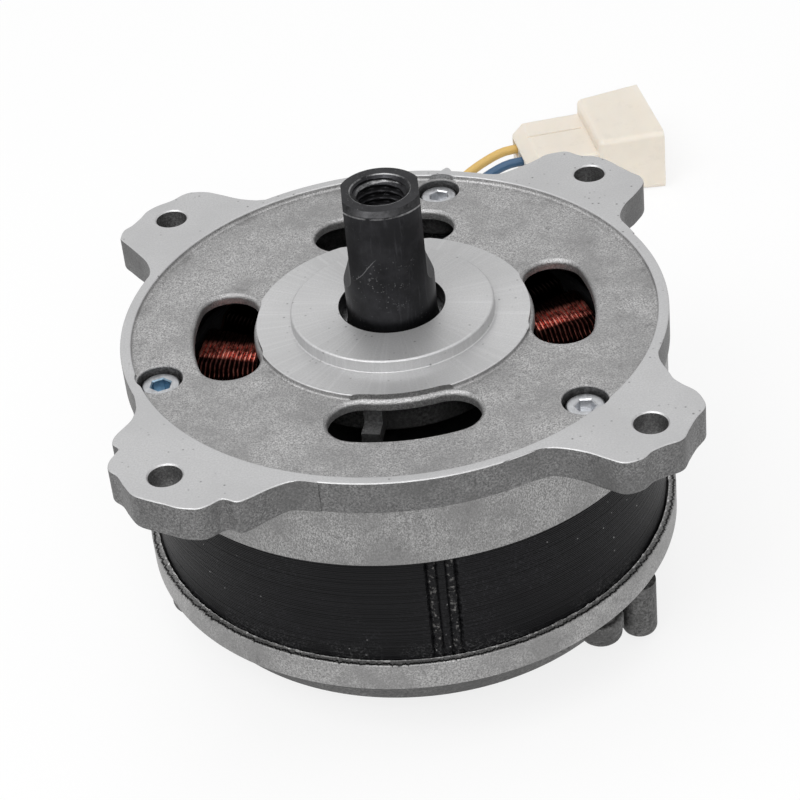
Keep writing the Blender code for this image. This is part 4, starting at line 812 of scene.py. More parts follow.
# Copper wire for the lit coils, and a near-black copy of it for the others as painted shade
WIRE = copper_wire_painted_shade("enamelled_wire", (0.95, 0.27, 0.21))
SHADED_WIRE = copper_wire_painted_shade("wire_painted_shade", (0.035, 0.012, 0.009))
WIRE_SHADOW = plain_metal("inner_turns", (0.02, 0.008, 0.006), 0.5)
ZINC = plain_metal("zinc_screw", (0.62, 0.63, 0.65), 0.34)
SOCKET = plain_metal("socket_blued", (0.30, 0.42, 0.52), 0.3)
BEARING_STEEL = plain_metal("bearing_steel_ground", (0.4, 0.4, 0.41), 0.25)
ROTOR_STEEL = plain_metal("rotor_steel", (0.12, 0.12, 0.12), 0.45)
MAGNET = plain_metal("magnet_plate", (0.3, 0.295, 0.28), 0.3)
CONTACT = plain_metal("tinned_contact", (0.6, 0.57, 0.5), 0.3)
BLACK_NYLON = moulded_plastic("black_nylon", (0.012, 0.012, 0.013), 0.45, 1800.0)
GROMMET_RUBBER = moulded_plastic("black_rubber", (0.012, 0.012, 0.012), 0.6, 2500.0)
NYLON = moulded_plastic("natural_nylon", (0.86, 0.79, 0.695), 0.4, 1500.0, 0.35)
LEAD_SURFACES = {
    "lead_yellow": moulded_plastic("yellow_insulation", (0.76, 0.50, 0.15), 0.4, 900.0),
    "lead_blue": moulded_plastic("blue_insulation", (0.045, 0.115, 0.22), 0.38, 900.0),
    "lead_green": moulded_plastic("green_insulation", (0.03, 0.14, 0.10), 0.38, 900.0),
}


def camera():
    """The photograph's view point."""
    data = bpy.data.cameras.new("camera")
    data.lens = CAMERA_LENS
    data.sensor_width = 36.0
    view = linked("camera", data)
    view.matrix_world = Matrix.Translation(CAMERA_PLACE) @ Matrix(CAMERA_TURN).to_4x4()
    bpy.context.scene.camera = view


def plug_matrix():
    """Place of the plug: its rear face is at local x = 0 and it points along +X."""
    return shift(*PLUG_PLACE) @ turn_z(PLUG_ANGLE)


def leads(plug):
    """Three free leads from the grommet to the plug."""
    turn = turn_z(LEAD_ANGLE)
    place = plug_matrix()
    for row, (name, bends) in zip((1, 0, -1), LEAD_ROUTES.items()):
        offset = row * LEAD_SPACING
        side = row * PLUG_PITCH
        route = [
            turn @ Vector((REAR_R - GROMMET_DEPTH, offset, LEAD_Z)),
            turn @ Vector((REAR_R + GROMMET_REACH, offset, LEAD_Z)),
            *[Vector(point) * MM for point in bends],
            place @ Vector((-LEAD_R, side, CONTACT_Z)),
            place @ Vector((PLUG_NECK_L - CRIMP_L - 2 * GAP, side, CONTACT_Z)),
        ]
        path = evenly_spaced(smoothed(route, 8), LEAD_POINT_STEP)
        curve = bpy.data.curves.new(name + "_insulation", "CURVE")
        curve.dimensions = "3D"
        curve.bevel_depth = LEAD_R
        curve.bevel_resolution = 5
        curve.use_fill_caps = True
        spline = curve.splines.new("POLY")
        spline.points.add(len(path) - 1)
        for point, co in zip(spline.points, path):
            point.co = (*co, 1.0)
        spline.use_smooth = True
        curve.materials.append(LEAD_SURFACES[name])
        piece = linked(name + "_insulation", curve)
        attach(piece, "housing")
        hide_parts(name)


def kidney_outline(grow):
    """Kidney window outline about +X, grown outward by a distance."""
    half = WINDOW_HALF_ANGLE
    end = WINDOW_HALF_W + grow
    points = arc(WINDOW_R + end, -half, half, 16)
    points += arc(end, half, half + 180.0, 20, on_circle(WINDOW_R, half))[1:]
    points += arc(WINDOW_R - end, half, -half, 12)[1:]
    points += arc(end, 180.0 - half, 360.0 - half, 20, on_circle(WINDOW_R, -half))[1:-1]
    return points


def window_tools():
    """Four window cutters, flared at the face and underneath for the cast edges."""
    flare = 0.6 * MM
    levels = [(flare, FACE_UNDER - FACE_T), (flare, FACE_UNDER), (0.0, FACE_UNDER + flare)]
    for part in range(7):
        angle = math.radians(75.0) * part / 6
        drop = WINDOW_EDGE_R * (1.0 - math.sin(angle))
        levels.append((WINDOW_EDGE_R * (1.0 - math.cos(angle)), FACE_Z - drop))
    levels.append((levels[-1][0], PLANE_Z + FACE_T))
    window = loft("window", [level(kidney_outline(grow), height) for grow, height in levels])
    return joined("windows", [moved(window, turn_z(angle)) for angle in (0, 90, 180, 270)])


def ear_blocks():
    """Four cast ears with rounded edges and the nib; the ears reach inside the ring, where the front cover
    cuts them away.
    """
    blocks = []
    root = RING_R / 2
    for (side_x, side_y), lobes in EARS.items():
        path = [(EAR_REACH + x * MM, EAR_REACH + y * MM) for x, y in lobes]
        outline = [(p.x, p.y) for p in smoothed(path, 5)] + [(root, root)]
        block = rounded_block(
            "ear", outline[::-1], PLANE_Z - EAR_T, PLANE_Z, EAR_LOW_EDGE, EAR_TOP_EDGE, RING_R + 0.2 * MM
        )
        for vertex in block.vertices:
            away = min(1.0, max(0.0, (vertex.co.xy.length - RING_R) / EAR_SLOPE))
            if vertex.co.z < PLANE_Z - EAR_T / 2:
                vertex.co.z += (EAR_T - FLANGE_T) * (1.0 - away)
        blocks.append(moved(block, Matrix.Diagonal((side_x, side_y, 1.0, 1.0))))
    outline = filleted((
        (RECESS_R, -2.2 * MM, 0.0), (RING_R, -1.3 * MM, 0.6 * MM),
        (RING_R + NIB_LENGTH, 0.0, 0.7 * MM), (RING_R, 1.3 * MM, 0.6 * MM), (RECESS_R, 2.2 * MM, 0.0),
    ))
    nib = rounded_block("nib", outline, FLANGE_BOTTOM, PLANE_Z, 0.6 * MM, 0.3 * MM)
    return [*blocks, moved(nib, turn_z(NIB_ANGLE))]


def front_cover():
    """Die-cast cover with machined ring, ears, hub and boss."""
    inner_r = SKIRT_R - SKIRT_WALL
    casting_mesh = lathe("front_cover_casting", (
        (BOSS_BORE_R, PLANE_Z + BOSS_H, 0.25 * MM), (BOSS_R, PLANE_Z + BOSS_H, 0.55 * MM),
        (BOSS_R, PLANE_Z, 0.3 * MM), (HUB_R, PLANE_Z, 0.25 * MM),
        (HUB_R, FACE_Z, 0.5 * MM), (RECESS_R, FACE_Z, 0.8 * MM),
        (RECESS_R, PLANE_Z, 0.3 * MM), (RING_R, PLANE_Z, 0.35 * MM),
        (RING_R, FLANGE_BOTTOM, 0.7 * MM), (SKIRT_R, FLANGE_BOTTOM, 0.2 * MM),
        (SKIRT_R, SKIRT_BOTTOM, 0.35 * MM), (STATOR_R + GAP, SKIRT_BOTTOM, 0.2 * MM),
        (STATOR_R + GAP, SPIGOT_TOP, 0.0), (inner_r, SPIGOT_TOP, 0.4 * MM),
        (inner_r, FACE_UNDER, 2.0 * MM), (HOUSING_R, FACE_UNDER, 1.5 * MM),
        (HOUSING_R, HOUSING_BOTTOM, 0.8 * MM), (SEAT_R, HOUSING_BOTTOM, 0.4 * MM),
        (SEAT_R, SEAT_TOP, 0.0), (BOSS_BORE_R, SEAT_TOP, 0.0),
    ), 256)
    cover = add_piece("front_cover_casting", casting_mesh, MACHINED, ["front_cover"])
    ears = linked("ears", joined("ears", ear_blocks()))
    root = cylinder("root", RING_R - RING_WIDTH / 2, PLANE_Z - 2 * EAR_T, PLANE_Z + EAR_T, 256)
    boolean(ears, root, "DIFFERENCE")
    boolean(cover, ears.data, "UNION")
    bpy.data.objects.remove(ears, do_unlink=True)
    pillar_bottom = HEAD_SEAT - 2.4 * MM
    pillar = lathe("pillar", (
        (0.0, FACE_Z - FACE_T / 2, 0.0), (PILLAR_R, FACE_Z - FACE_T / 2, 0.0),
        (PILLAR_R, pillar_bottom, 0.8 * MM), (0.0, pillar_bottom, 0.0),
    ), 48)
    boolean(cover, at_screws(pillar), "UNION")
    rib = box(
        "rib", (HOUSING_R - 2 * MM, -RIB_HALF_W, HOUSING_BOTTOM + 2 * MM),
        (HOUSING_R + RIB_REACH, RIB_HALF_W, FACE_Z - MM),
    )
    boolean(cover, moved(rib, turn_z(RIB_ANGLE)), "UNION")
    boolean(cover, window_tools(), "DIFFERENCE")
    flare = 0.35 * MM
    bore = lathe("bore", (
        (0.0, PLANE_Z + FACE_T, 0.0), (COUNTERBORE_R + flare, PLANE_Z + FACE_T, 0.0),
        (COUNTERBORE_R + flare, FACE_Z, 0.0), (COUNTERBORE_R + flare * 0.3, FACE_Z - flare * 0.3, 0.0),
        (COUNTERBORE_R, FACE_Z - flare, 0.0), (COUNTERBORE_R, HEAD_SEAT - GAP, 0.0),
        (SCREW_HOLE_R, HEAD_SEAT - GAP, 0.0), (SCREW_HOLE_R, SKIRT_BOTTOM, 0.0), (0.0, SKIRT_BOTTOM, 0.0),
    ), 48)
    boolean(cover, at_screws(bore), "DIFFERENCE")
    chamfer = 0.3 * MM
    hole = lathe("hole", (
        (0.0, PLANE_Z + EAR_T, 0.0), (EAR_HOLE_R + chamfer, PLANE_Z + EAR_T, 0.0),
        (EAR_HOLE_R + chamfer, PLANE_Z, 0.0), (EAR_HOLE_R, PLANE_Z - chamfer, 0.0),
        (EAR_HOLE_R, PLANE_Z - 2 * EAR_T, 0.0), (0.0, PLANE_Z - 2 * EAR_T, 0.0),
    ), 48)
    holes = [moved(hole, shift(side_x * EAR_REACH, side_y * EAR_REACH)) for side_x, side_y in EARS]
    boolean(cover, joined("holes", holes), "DIFFERENCE")
    surfaces = (MACHINED, CAST_FACE, CAST_SIDE_SHADED, SKIRT_METAL, CAST_INSIDE_SHADE, TURNED, BORE_SHADE)
    paint(cover, surfaces, front_surface)
    shade(cover, 32.0)


def front_surface(radius, height, up):
    """Surface of a face of the front cover; the bore, the inside and the outer sides take darker copies
    painted as shade.
    """
    # Painted shade: the bore beside the shaft takes a near-black copy of the casting
    if radius < BOSS_BORE_R + 0.2 * MM:
        return BORE_SHADE
    if height > PLANE_Z - 0.3 * MM and (up > 0.3 or height > PLANE_Z):
        return TURNED if radius < HUB_R + MM else MACHINED
    if height > FACE_UNDER + 0.7 * MM and HUB_R - 2 * MM < radius < RING_R - MM:
        return CAST_FACE if height < FACE_Z + 0.9 * MM else MACHINED
    # Painted shade: faces inside the cover take a dark copy of the casting
    if height < FACE_Z - MM and radius < SKIRT_R - MM:
        return CAST_INSIDE_SHADE
    if height < FLANGE_BOTTOM + 0.05 * MM and radius < RING_R - 0.3 * MM:
        return SKIRT_METAL
    # Painted shade: the outer sides take a darker copy of the cast face
    return CAST_SIDE_SHADED


def rear_surface(radius, height, up):
    """Surface of a face of the rear cover."""
    if radius > REAR_R - 2.9 * MM and height > REAR_SIDE_BOTTOM - 0.1 * MM:
        return REAR_RING
    # Painted shade: faces inside the bowl take the dark inside copy of the casting
    if height > REAR_PLATE_BOTTOM + MM and radius < REAR_LIP_R - 4.7 * MM and up > -0.5:
        return CAST_INSIDE_SHADE
    return REAR_CAST


def rear_cover():
    """Cast rear cover: machined rim, bowl, hub, ribs, lugs and posts."""
    inner_r = REAR_LIP_R - 4.8 * MM
    ring_r = REAR_SEAT_R + 3.7 * MM
    ring_top = REAR_PLATE_TOP + 3.5 * MM
    casting_mesh = lathe("rear_cover_casting", (
        (REAR_LIP_R, REAR_LIP_TOP, 0.1 * MM), (REAR_R, REAR_LIP_TOP, 0.35 * MM),
        (REAR_R, REAR_SIDE_BOTTOM, 0.5 * MM), (REAR_R - 3.0 * MM, REAR_SIDE_BOTTOM, 0.4 * MM),
        (REAR_R - 6.8 * MM, REAR_SIDE_BOTTOM - 8.9 * MM, 1.5 * MM),
        (50.0 * MM, REAR_PLATE_BOTTOM, 1.5 * MM), (REAR_HUB_R + 1.5 * MM, REAR_PLATE_BOTTOM, 1.5 * MM),
        (REAR_HUB_R, 0.0, 0.6 * MM), (0.0, 0.0, 0.0),
        (0.0, REAR_SEAT_Z, 0.0), (REAR_SEAT_R, REAR_SEAT_Z, 0.3 * MM),
        (REAR_SEAT_R, ring_top, 0.4 * MM), (ring_r, ring_top, 0.6 * MM),
        (ring_r, REAR_PLATE_TOP, 1.0 * MM), (inner_r - 4.4 * MM, REAR_PLATE_TOP, 2.0 * MM),
        (inner_r, REAR_PLATE_TOP + 4.4 * MM, 2.0 * MM), (inner_r, REAR_SHOULDER_Z, 0.2 * MM),
        (REAR_LIP_R, REAR_SHOULDER_Z, 0.1 * MM),
    ), 240)
    cover = add_piece("rear_cover_casting", casting_mesh, REAR_CAST, ["rear_cover"])
    lug = lathe("lug", (
        (0.0, REAR_SHOULDER_Z, 0.0), (LUG_TOP_R, REAR_SHOULDER_Z, 0.2 * MM),
        (LUG_TOP_R, LUG_BOTTOM + 4.0 * MM, 0.3 * MM), (LUG_R, LUG_BOTTOM + 4.0 * MM, 0.8 * MM),
        (LUG_R, LUG_BOTTOM, 0.8 * MM), (0.0, LUG_BOTTOM, 0.0),
    ), 40)
    boolean(cover, at_screws(lug), "UNION")
    outline = ((18.5, 2.8), (18.5, 10.5), (47.0, 10.5), (47.0, 8.8))
    rib = loft("rib", [
        [(x * MM, side * MM, (z + (lift if z < 10.0 else 0.0)) * MM) for x, z in outline]
        for side, lift in ((-1.2, 0.3), (-1.5, 0.0), (1.5, 0.0), (1.2, 0.3))
    ])
    ribs = [moved(rib, turn_z(angle)) for angle in range(45, 405, 60)]
    boolean(cover, joined("ribs", ribs), "UNION")
    for x, y, radius, bottom, top in [[value * MM for value in post] for post in POSTS]:
        post = lathe("post", (
            (0.0, top, 0.0), (radius, top, 0.0), (radius, bottom, 1.7 * MM), (0.0, bottom, 0.0),
        ), 48, 5)
        boolean(cover, moved(post, shift(x, y)), "UNION")
    hole = cylinder("hole", SCREW_HOLE_R, LUG_BOTTOM + 2.5 * MM, STATOR_BOTTOM, 32)
    boolean(cover, at_screws(hole), "DIFFERENCE")
    slot = box(
        "slot", (50.0 * MM, -6.9 * MM, LEAD_Z - 2.3 * MM), (66.1 * MM, 6.9 * MM, LEAD_Z + 2.3 * MM)
    )
    boolean(cover, moved(slot, turn_z(LEAD_ANGLE)), "DIFFERENCE")
    paint(cover, (REAR_CAST, REAR_RING, CAST_INSIDE_SHADE), rear_surface)
    shade(cover, 32.0)


def chipped_lip():
    """Thin burr round the inner edge of the rear rim, broken away here and there."""
    rows = []
    steps = 900
    low = REAR_LIP_TOP - 0.5 * MM
    for index in range(steps):
        spot = Vector((*on_circle(1.0, 360.0 * index / steps), 0.0))
        ragged = noise.noise(spot * 38.0) + 0.6 * noise.noise(spot * 110.0)
        height = REAR_LIP_TOP + (0.05 + 0.28 * max(0.0, ragged)) * MM
        torn = max(0.0, noise.noise(spot * 60.0 + Vector((5, 0, 0))))
        inner = REAR_LIP_R - (0.12 + 0.3 * torn) * MM
        outer = REAR_LIP_R + (0.25 + 0.18 * ragged) * MM
        section = ((inner, low), (outer, low), (outer, height - 0.1 * MM), (inner + 0.1 * MM, height))
        rows.append([(r * spot.x, r * spot.y, z) for r, z in section])
    piece = add_piece(
        "rear_rim_burr", loft("rear_rim_burr", rows, around=True), REAR_RING
    )
    shade(piece, 40.0)


def tooth_loop():
    """Inner outline of the slotted laminations."""
    loop = []
    half = SLOT_PITCH / 2
    shoe_r = STATOR_BORE_R + 1.5 * MM
    neck_r = shoe_r + TOOTH_GAP
    half_tip = half - math.degrees(math.asin(TOOTH_GAP / STATOR_BORE_R))
    half_shoe = half - math.degrees(math.asin(TOOTH_GAP / shoe_r))
    neck = math.degrees(math.asin(TOOTH_HALF_W / neck_r))
    root = math.degrees(math.asin(TOOTH_HALF_W / SLOT_R))
    for index in range(SLOT_COUNT):
        middle = FIRST_TOOTH + SLOT_PITCH * index
        loop += arc(SLOT_R, middle - half, middle - root, 3)
        loop += [on_circle(neck_r, middle - neck), on_circle(shoe_r, middle - half_shoe)]
        loop += arc(STATOR_BORE_R, middle - half_tip, middle + half_tip, 4)
        loop += [on_circle(shoe_r, middle + half_shoe), on_circle(neck_r, middle + neck)]
        loop += arc(SLOT_R, middle + root, middle + half, 3)[:-1]
    return loop


def rim_loop(grow, sheet):
    """Outer outline of one lamination, with the four weld grooves at the front."""
    points = []
    steps = 720
    for index in range(steps):
        angle = 360.0 * index / steps
        radius = STATOR_R + grow
        for groove, width, depth in WELD_GROOVES:
            ragged = 0.05 * math.sin(sheet * 1.7 + groove * 5.0) + 0.04 * math.sin(sheet * 0.61 + groove)
            away = abs(angle - (WELD_ANGLE + groove + ragged)) / width
            if away < 1.0:
                radius -= depth * MM * (1.0 - away * away)
        points.append(on_circle(radius, angle))
    return points


def stator():
    """Stack of laminations whose edges stand a little proud of the varnished seams."""
    solid = bmesh.new()
    sheets = round(STATOR_H / LAMINATION_T)
    pitch = STATOR_H / sheets
    outlines = []
    for sheet in range(sheets):
        base = STATOR_BOTTOM + sheet * pitch
        uneven = 0.03 * MM * math.sin(sheet * 2.3) * math.sin(sheet * 0.37)
        for share, grow in ((0.0, -SEAM_DEPTH), (0.22, uneven), (0.78, uneven)):
            outlines.append(level(rim_loop(grow, sheet), base + share * pitch))
    outlines.append(level(rim_loop(-SEAM_DEPTH, sheets), STATOR_TOP))
    outlines += [level(tooth_loop(), height) for height in (STATOR_BOTTOM, STATOR_TOP)]
    *rows, low_teeth, high_teeth = [[solid.verts.new(point) for point in outline] for outline in outlines]
    for low, high in [*zip(rows, rows[1:]), (low_teeth, high_teeth)]:
        strip(solid, low, high)
    for chains in ((rows[0], low_teeth), (rows[-1], high_teeth)):
        edges = [
            solid.edges.get((chain[index - 1], chain[index]))
            for chain in chains for index in range(len(chain))
        ]
        bmesh.ops.triangle_fill(solid, use_beauty=True, edges=edges)
    stack = finished("stator_laminations", solid)
    shade(add_piece("stator_laminations", stack, VARNISH, ["stator_core"]), 50.0)


def coil_point(width, inset_by, corner, share):
    """Point on the outline of a coil of a width beside its tooth, a share of the way round."""
    half_w = TOOTH_CLEAR + width - inset_by
    return frame_point(half_w, COIL_HALF_H + COIL_BUILD - inset_by, corner, share)


def coil_path():
    """Winding about +X: turns of wire side by side round one tooth."""
    points = []
    length = COIL_R_OUT - COIL_R_IN
    for number in range(TURNS * TURN_STEPS):
        turn, spot = divmod(number, TURN_STEPS)
        along = COIL_R_IN + WIRE_R + (length - 2 * WIRE_R) * number / (TURNS * TURN_STEPS)
        width = COIL_W_IN + (COIL_W_OUT - COIL_W_IN) * (along - COIL_R_IN) / length
        across, up = coil_point(width, WIRE_R, 5.0 * MM, spot / TURN_STEPS)
        wander = noise.noise(Vector((turn * 3.1, spot * 0.35, 0.0))) * 0.14 * MM
        points.append(Vector((along + wander, across - abs(wander) * 0.5, up)))
    return points


def frame_point(half_w, half_h, corner, share):
    """Point on a rectangle with round corners, a share of the way round."""
    sides = ((half_w, 2 * (half_h - corner)), (half_h, 2 * (half_w - corner))) * 2
    quarter = math.pi / 2 * corner
    left = share * (sum(length for _, length in sides) + 4 * quarter)
    for side, (reach, length) in enumerate(sides):
        turn = Matrix.Rotation(-math.pi / 2 * side, 2)
        if left < length:
            return Vector((reach, left - length / 2)) @ turn
        left -= length
        if left < quarter:
            centre = (reach - corner, length / 2)
            return Vector(on_circle(corner, math.degrees(left / corner), centre)) @ turn
        left -= quarter
    return Vector((half_w, 0.0))


def tube(name, path, radius, sides):
    """Round wire along an open path, with closed ends."""
    rows = []
    across = (path[1] - path[0]).orthogonal()
    for index, point in enumerate(path):
        along = (path[min(len(path) - 1, index + 1)] - path[max(0, index - 1)]).normalized()
        across = (across - along * across.dot(along)).normalized()
        up = along.cross(across)
        rows.append([point + across * x + up * y for x, y in circle(radius, sides)])
    return loft(name, rows)


def windings():
    """Twelve coils of real wire over a core of inner turns painted dark as shadow."""
    middle = (STATOR_TOP + STATOR_BOTTOM) / 2
    place = shift(0.0, 0.0, middle)
    wire = moved(tube("wire", coil_path(), WIRE_R * 0.97, 8), place)
    spots = [spot / TURN_STEPS for spot in range(TURN_STEPS)]
    ends = ((COIL_R_IN + 0.5 * WIRE_R, COIL_W_IN), (COIL_R_OUT - 0.5 * WIRE_R, COIL_W_OUT))
    core = moved(loft("core", [
        [(along, *coil_point(width, 1.1 * WIRE_R, 4.6 * MM, spot)) for spot in spots]
        for along, width in ends
    ]), place)
    tooth = box(
        "tooth", (COIL_R_IN - MM, -TOOTH_CLEAR, middle - COIL_HALF_H),
        (COIL_R_OUT + MM, TOOTH_CLEAR, middle + COIL_HALF_H),
    )
    for index in range(SLOT_COUNT):
        turn = turn_z(FIRST_TOOTH + SLOT_PITCH * index)
        number = "{:02d}".format(index + 1)
        # Coils outside LIT_COILS take the near-black wire, painted shade
        surface = WIRE if index in LIT_COILS else SHADED_WIRE
        wires = add_piece(
            "wires_" + number, moved(wire, turn), surface, ["coil_" + number]
        )
        wires.data.shade_smooth()
        # The inner turns' near-black colour is painted shadow
        inner = add_piece("inner_turns_" + number, moved(core, turn), WIRE_SHADOW)
        boolean(inner, moved(tooth, turn), "DIFFERENCE")


def thread_tool():
    """Cutter with the screw thread of the shaft's end and its countersunk mouth."""
    low = SHAFT_TOP - THREAD_DEPTH
    high = SHAFT_TOP + 2 * THREAD_PITCH
    count = round((high - low) / THREAD_PITCH * THREAD_ROWS)
    levels = []
    for row in range(count + 1):
        height = low + (high - low) * row / count
        mouth = THREAD_MOUTH_R - max(0.0, SHAFT_TOP - height)
        outline = []
        for index in range(THREAD_STEPS):
            phase = (height / THREAD_PITCH - index / THREAD_STEPS) % 1.0
            rise = min(1.0, max(0.0, 1.6 - abs(phase - 0.5) * 4.0))
            radius = max(THREAD_R + THREAD_HEIGHT * rise, mouth)
            outline.append(on_circle(radius, 360.0 * index / THREAD_STEPS))
        levels.append(level(outline, height))
    return loft("thread", levels)


def shaft_surface(radius, height, up):
    """Worn steel on the chamfer of the shaft's end, black elsewhere."""
    worn = height > SHAFT_TOP - 1.3 * MM and 0.25 < up < 0.95 and radius > 8.0 * MM
    return SHAFT_WORN if worn else SHAFT_BLACK


def shaft():
    """Black shaft with an internal thread, chamfers and two milled flats."""
    collar_bottom = COLLAR_TOP - COLLAR_T
    spindle = lathe("shaft_steel", (
        (0.0, SHAFT_TOP, 0.0), (SHAFT_R - 1.0 * MM, SHAFT_TOP, 0.25 * MM),
        (SHAFT_R, SHAFT_TOP - 1.1 * MM, 0.3 * MM), (SHAFT_R, COLLAR_TOP, 0.2 * MM),
        (COLLAR_R, COLLAR_TOP, 0.3 * MM), (COLLAR_R, collar_bottom, 0.0),
        (SPINDLE_R, collar_bottom, 0.0), (SPINDLE_R, REAR_SHOULDER_Z, 0.3 * MM),
        (REAR_STEP_R, REAR_SHOULDER_Z, 0.0), (REAR_STEP_R, REAR_STEP_Z, 0.0),
        (JOURNAL_R, REAR_STEP_Z, 0.0), (JOURNAL_R, SHAFT_BOTTOM, 0.4 * MM), (0.0, SHAFT_BOTTOM, 0.0),
    ), 128)
    piece = add_piece("shaft_steel", spindle, SHAFT_BLACK, ["shaft"], "rotor")
    boolean(piece, thread_tool(), "DIFFERENCE")
    near = FLATS_W / 2
    far = 2 * SHAFT_R
    above = SHAFT_TOP + SHAFT_R
    outline = [
        (near, above), *arc(FLATS_END_R, 180.0, 270.0, 14, (near + FLATS_END_R, FLATS_Z)),
        (far, FLATS_Z - FLATS_END_R), (far, above),
    ]
    flat = loft("flat", [[(x, y, z) for x, z in outline] for y in (far, -far)])
    boolean(piece, joined("flats", [flat, moved(flat, turn_z(180.0))]), "DIFFERENCE")
    paint(piece, (SHAFT_BLACK, SHAFT_WORN), shaft_surface)
    shade(piece, 30.0)


def socket_surface(radius, height, up):
    """Blued steel in the socket of a screw that stands on the axis, zinc elsewhere."""
    return SOCKET if radius < 2.4 * MM and height > HEAD_TOP - 4.0 * MM else ZINC


def screws():
    """Three socket cap screws with hexagon sockets and knurled heads."""
    head = lathe("screw", (
        (0.0, HEAD_TOP, 0.0), (HEAD_R, HEAD_TOP, 0.5 * MM), (HEAD_R, HEAD_SEAT, 0.2 * MM),
        (SCREW_R, HEAD_SEAT, 0.0), (SCREW_R, SCREW_BOTTOM, 0.5 * MM), (0.0, SCREW_BOTTOM, 0.0),
    ), KNURLS)
    for vertex in head.vertices:
        x, y, z = vertex.co
        step = round(math.atan2(y, x) / (2 * math.pi) * KNURLS)
        if math.hypot(x, y) > HEAD_R - 0.05 * MM and z < HEAD_TOP - 0.5 * MM and step % 2:
            vertex.co.xy *= 0.97
    flare = 0.3 * MM
    hexagon = loft("hex", [level(circle(HEX_R + grow, 6), HEAD_TOP + rise) for grow, rise in (
        (0.0, -HEX_DEPTH), (0.0, -flare), (flare, 0.0), (flare, flare)
    )])
    for index, angle in enumerate(SCREW_ANGLES):
        number = str(index + 1)
        piece = add_piece(
            "cap_screw_" + number, head.copy(), ZINC, ["housing_screw_" + number]
        )
        boolean(piece, hexagon.copy(), "DIFFERENCE")
        if index == BLUED_SCREW:
            paint(piece, (ZINC, SOCKET), socket_surface)
        piece.data.transform(turn_z(angle) @ shift(SCREW_CIRCLE_R, 0.0) @ turn_z(SCREW_TURNS[index]))
        shade(piece, 35.0)


def soft_box(name, start, end, back, mouth, radius):
    """Box along local X whose round-edged section grows from the back to the mouth."""
    rings = []
    for along, shrink in edged(start, end, radius):
        share = (along - start) / (end - start)
        half_w = (back[0] + (mouth[0] - back[0]) * share) / 2 - shrink
        half_h = (back[1] + (mouth[1] - back[1]) * share) / 2 - shrink
        corner = max(0.3 * MM, radius - shrink)
        outline = filleted((
            (-half_w, -half_h, corner), (half_w, -half_h, corner),
            (half_w, half_h, corner), (-half_w, half_h, corner),
        ))
        rings.append([(along, y, PLUG_MIDDLE_Z + z) for y, z in outline])
    return loft(name, rings)


def plug():
    """Natural nylon plug: sloped neck, flared hood, chambers and a moulded crease."""
    place = plug_matrix()
    hood = soft_box(
        "plug_body", PLUG_NECK_L, PLUG_LENGTH, (27.4 * MM, 17.4 * MM), (31.1 * MM, 18.9 * MM), 1.7 * MM
    )
    body = add_piece("plug_body", moved(hood, place), NYLON, ["plug_housing"])
    neck_end = PLUG_NECK_L + PLUG_WALL
    outline = filleted((
        (0.0, 2.4 * MM, 0.6 * MM), (neck_end, 2.4 * MM, 0.0), (neck_end, 14.0 * MM, 0.0),
        (3.3 * MM, 14.0 * MM, 0.8 * MM), (0.0, 10.7 * MM, 0.8 * MM),
    ))
    neck = loft("neck", [
        [(x, across, z) for x, z in inset(outline, shrink)]
        for across, shrink in edged(-PLUG_NECK_HALF_W, PLUG_NECK_HALF_W, 1.1 * MM, 1.1 * MM)
    ])
    boolean(body, moved(neck, place), "UNION")
    cavity = soft_box(
        "cavity", PLUG_NECK_L + 2.2 * MM, PLUG_LENGTH + PLUG_WALL, (24.4 * MM, 14.4 * MM),
        (28.3 * MM, 16.0 * MM), 0.6 * MM,
    )
    boolean(body, moved(cavity, place), "DIFFERENCE")
    crease = box(
        "crease", (-PLUG_WALL, 3.0 * MM, 13.55 * MM), (PLUG_NECK_L - MM, 3.7 * MM, 16.0 * MM)
    )
    boolean(body, moved(crease, place), "DIFFERENCE")
    tip = PLUG_NECK_L + 4.4 * MM
    outline = (
        (-PLUG_WALL, 6.2 * MM), (PLUG_NECK_L, 6.2 * MM), (PLUG_NECK_L, 7.5 * MM), (tip, 7.5 * MM),
        (tip, 8.9 * MM), (PLUG_NECK_L, 8.9 * MM), (PLUG_NECK_L, 10.2 * MM), (-PLUG_WALL, 10.2 * MM),
    )
    chamber = loft("chamber", [[(x, side, z) for x, z in outline] for side in (3.45 * MM, -3.45 * MM)])
    chambers = [moved(chamber, place @ shift(0.0, row * PLUG_PITCH)) for row in (-1, 0, 1)]
    boolean(body, joined("chambers", chambers), "DIFFERENCE")
    shade(body, 35.0)
    return body


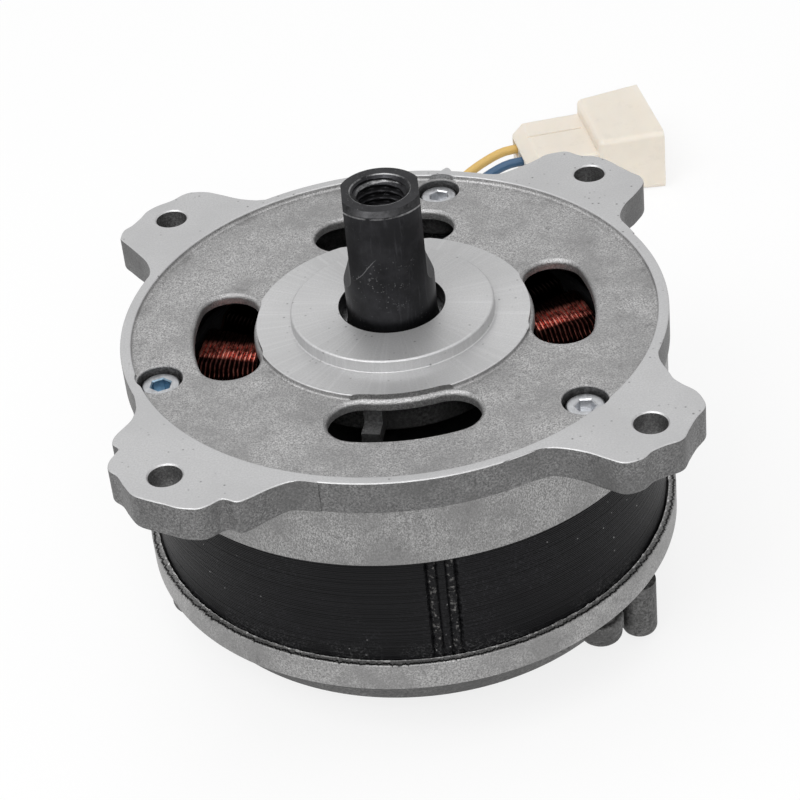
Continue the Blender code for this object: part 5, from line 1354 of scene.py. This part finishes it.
def stage():
    """Pale floor that shows white to the camera and keeps the object's shadow."""
    half = FLOOR_SIZE / 2
    corners = [(-half, -half, 0.0), (half, -half, 0.0), (half, half, 0.0), (-half, half, 0.0)]
    mesh = bpy.data.meshes.new("floor")
    mesh.from_pydata(corners, [], [(0, 1, 2, 3)])
    pale = (0.98, 0.98, 0.98)
    s = Surface("floor", pale, Base_Color=pale, Roughness=0.9, Specular_IOR_Level=0.0)
    share = s.times(s.looked_at(), FLOOR_WHITE)
    blend = s.put("ShaderNodeMixShader", share, s.shader.outputs[0], s.put("ShaderNodeEmission"))
    s.set(s.tree.nodes["Material Output"].inputs["Surface"], blend)
    mesh.materials.append(s.material)
    linked("floor", mesh)


def lights():
    """Soft studio light and a white world for what the camera and the metal see."""
    world = bpy.data.worlds.new("studio")
    bpy.context.scene.world = world
    world.use_nodes = True
    sky = Nodes(world.node_tree)
    shown = world.node_tree.nodes["Background"].inputs
    sky.set(shown["Color"], (0.8, 0.8, 0.8))
    sky.set(shown["Strength"], sky.put(
        "ShaderNodeMapRange", sky.looked_at(), 0.0, 1.0, WORLD_LIGHT, 1.0
    ))
    for name, place, size, power in LAMPS:
        data = bpy.data.lights.new(name, "AREA")
        data.shape = "DISK"
        data.size = size
        data.energy = power
        lamp = linked(name, data)
        lamp.location = place
        lamp.rotation_euler = (Vector(AIM) - Vector(place)).to_track_quat("-Z", "Y").to_euler()


def dress_nodes():
    """Procedural materials for the CAD nodes that stay."""
    races = [end + "_bearing_" + side for end in ("front", "rear") for side in ("outer_race", "inner_race")]
    magnets = ["magnet_{:02d}".format(number) for number in range(1, 11)]
    for material, nodes in (
        (BLACK_NYLON, ["front_insulator", "rear_insulator"]),
        (ROTOR_STEEL, ["rotor_core", "rotor_circlip"]),
        (BEARING_STEEL, ["wave_washer", *races]), (GROMMET_RUBBER, ["lead_grommet"]),
        (MAGNET, magnets), (CONTACT, TERMINALS),
    ):
        for node in nodes:
            for holder in bpy.data.objects[node].material_slots:
                holder.material = material


bpy.context.scene.view_settings.view_transform = "Standard"
camera()
leads(plug())
front_cover()
rear_cover()
chipped_lip()
stator()
windings()
shaft()
screws()
dress_nodes()
stage()
lights()
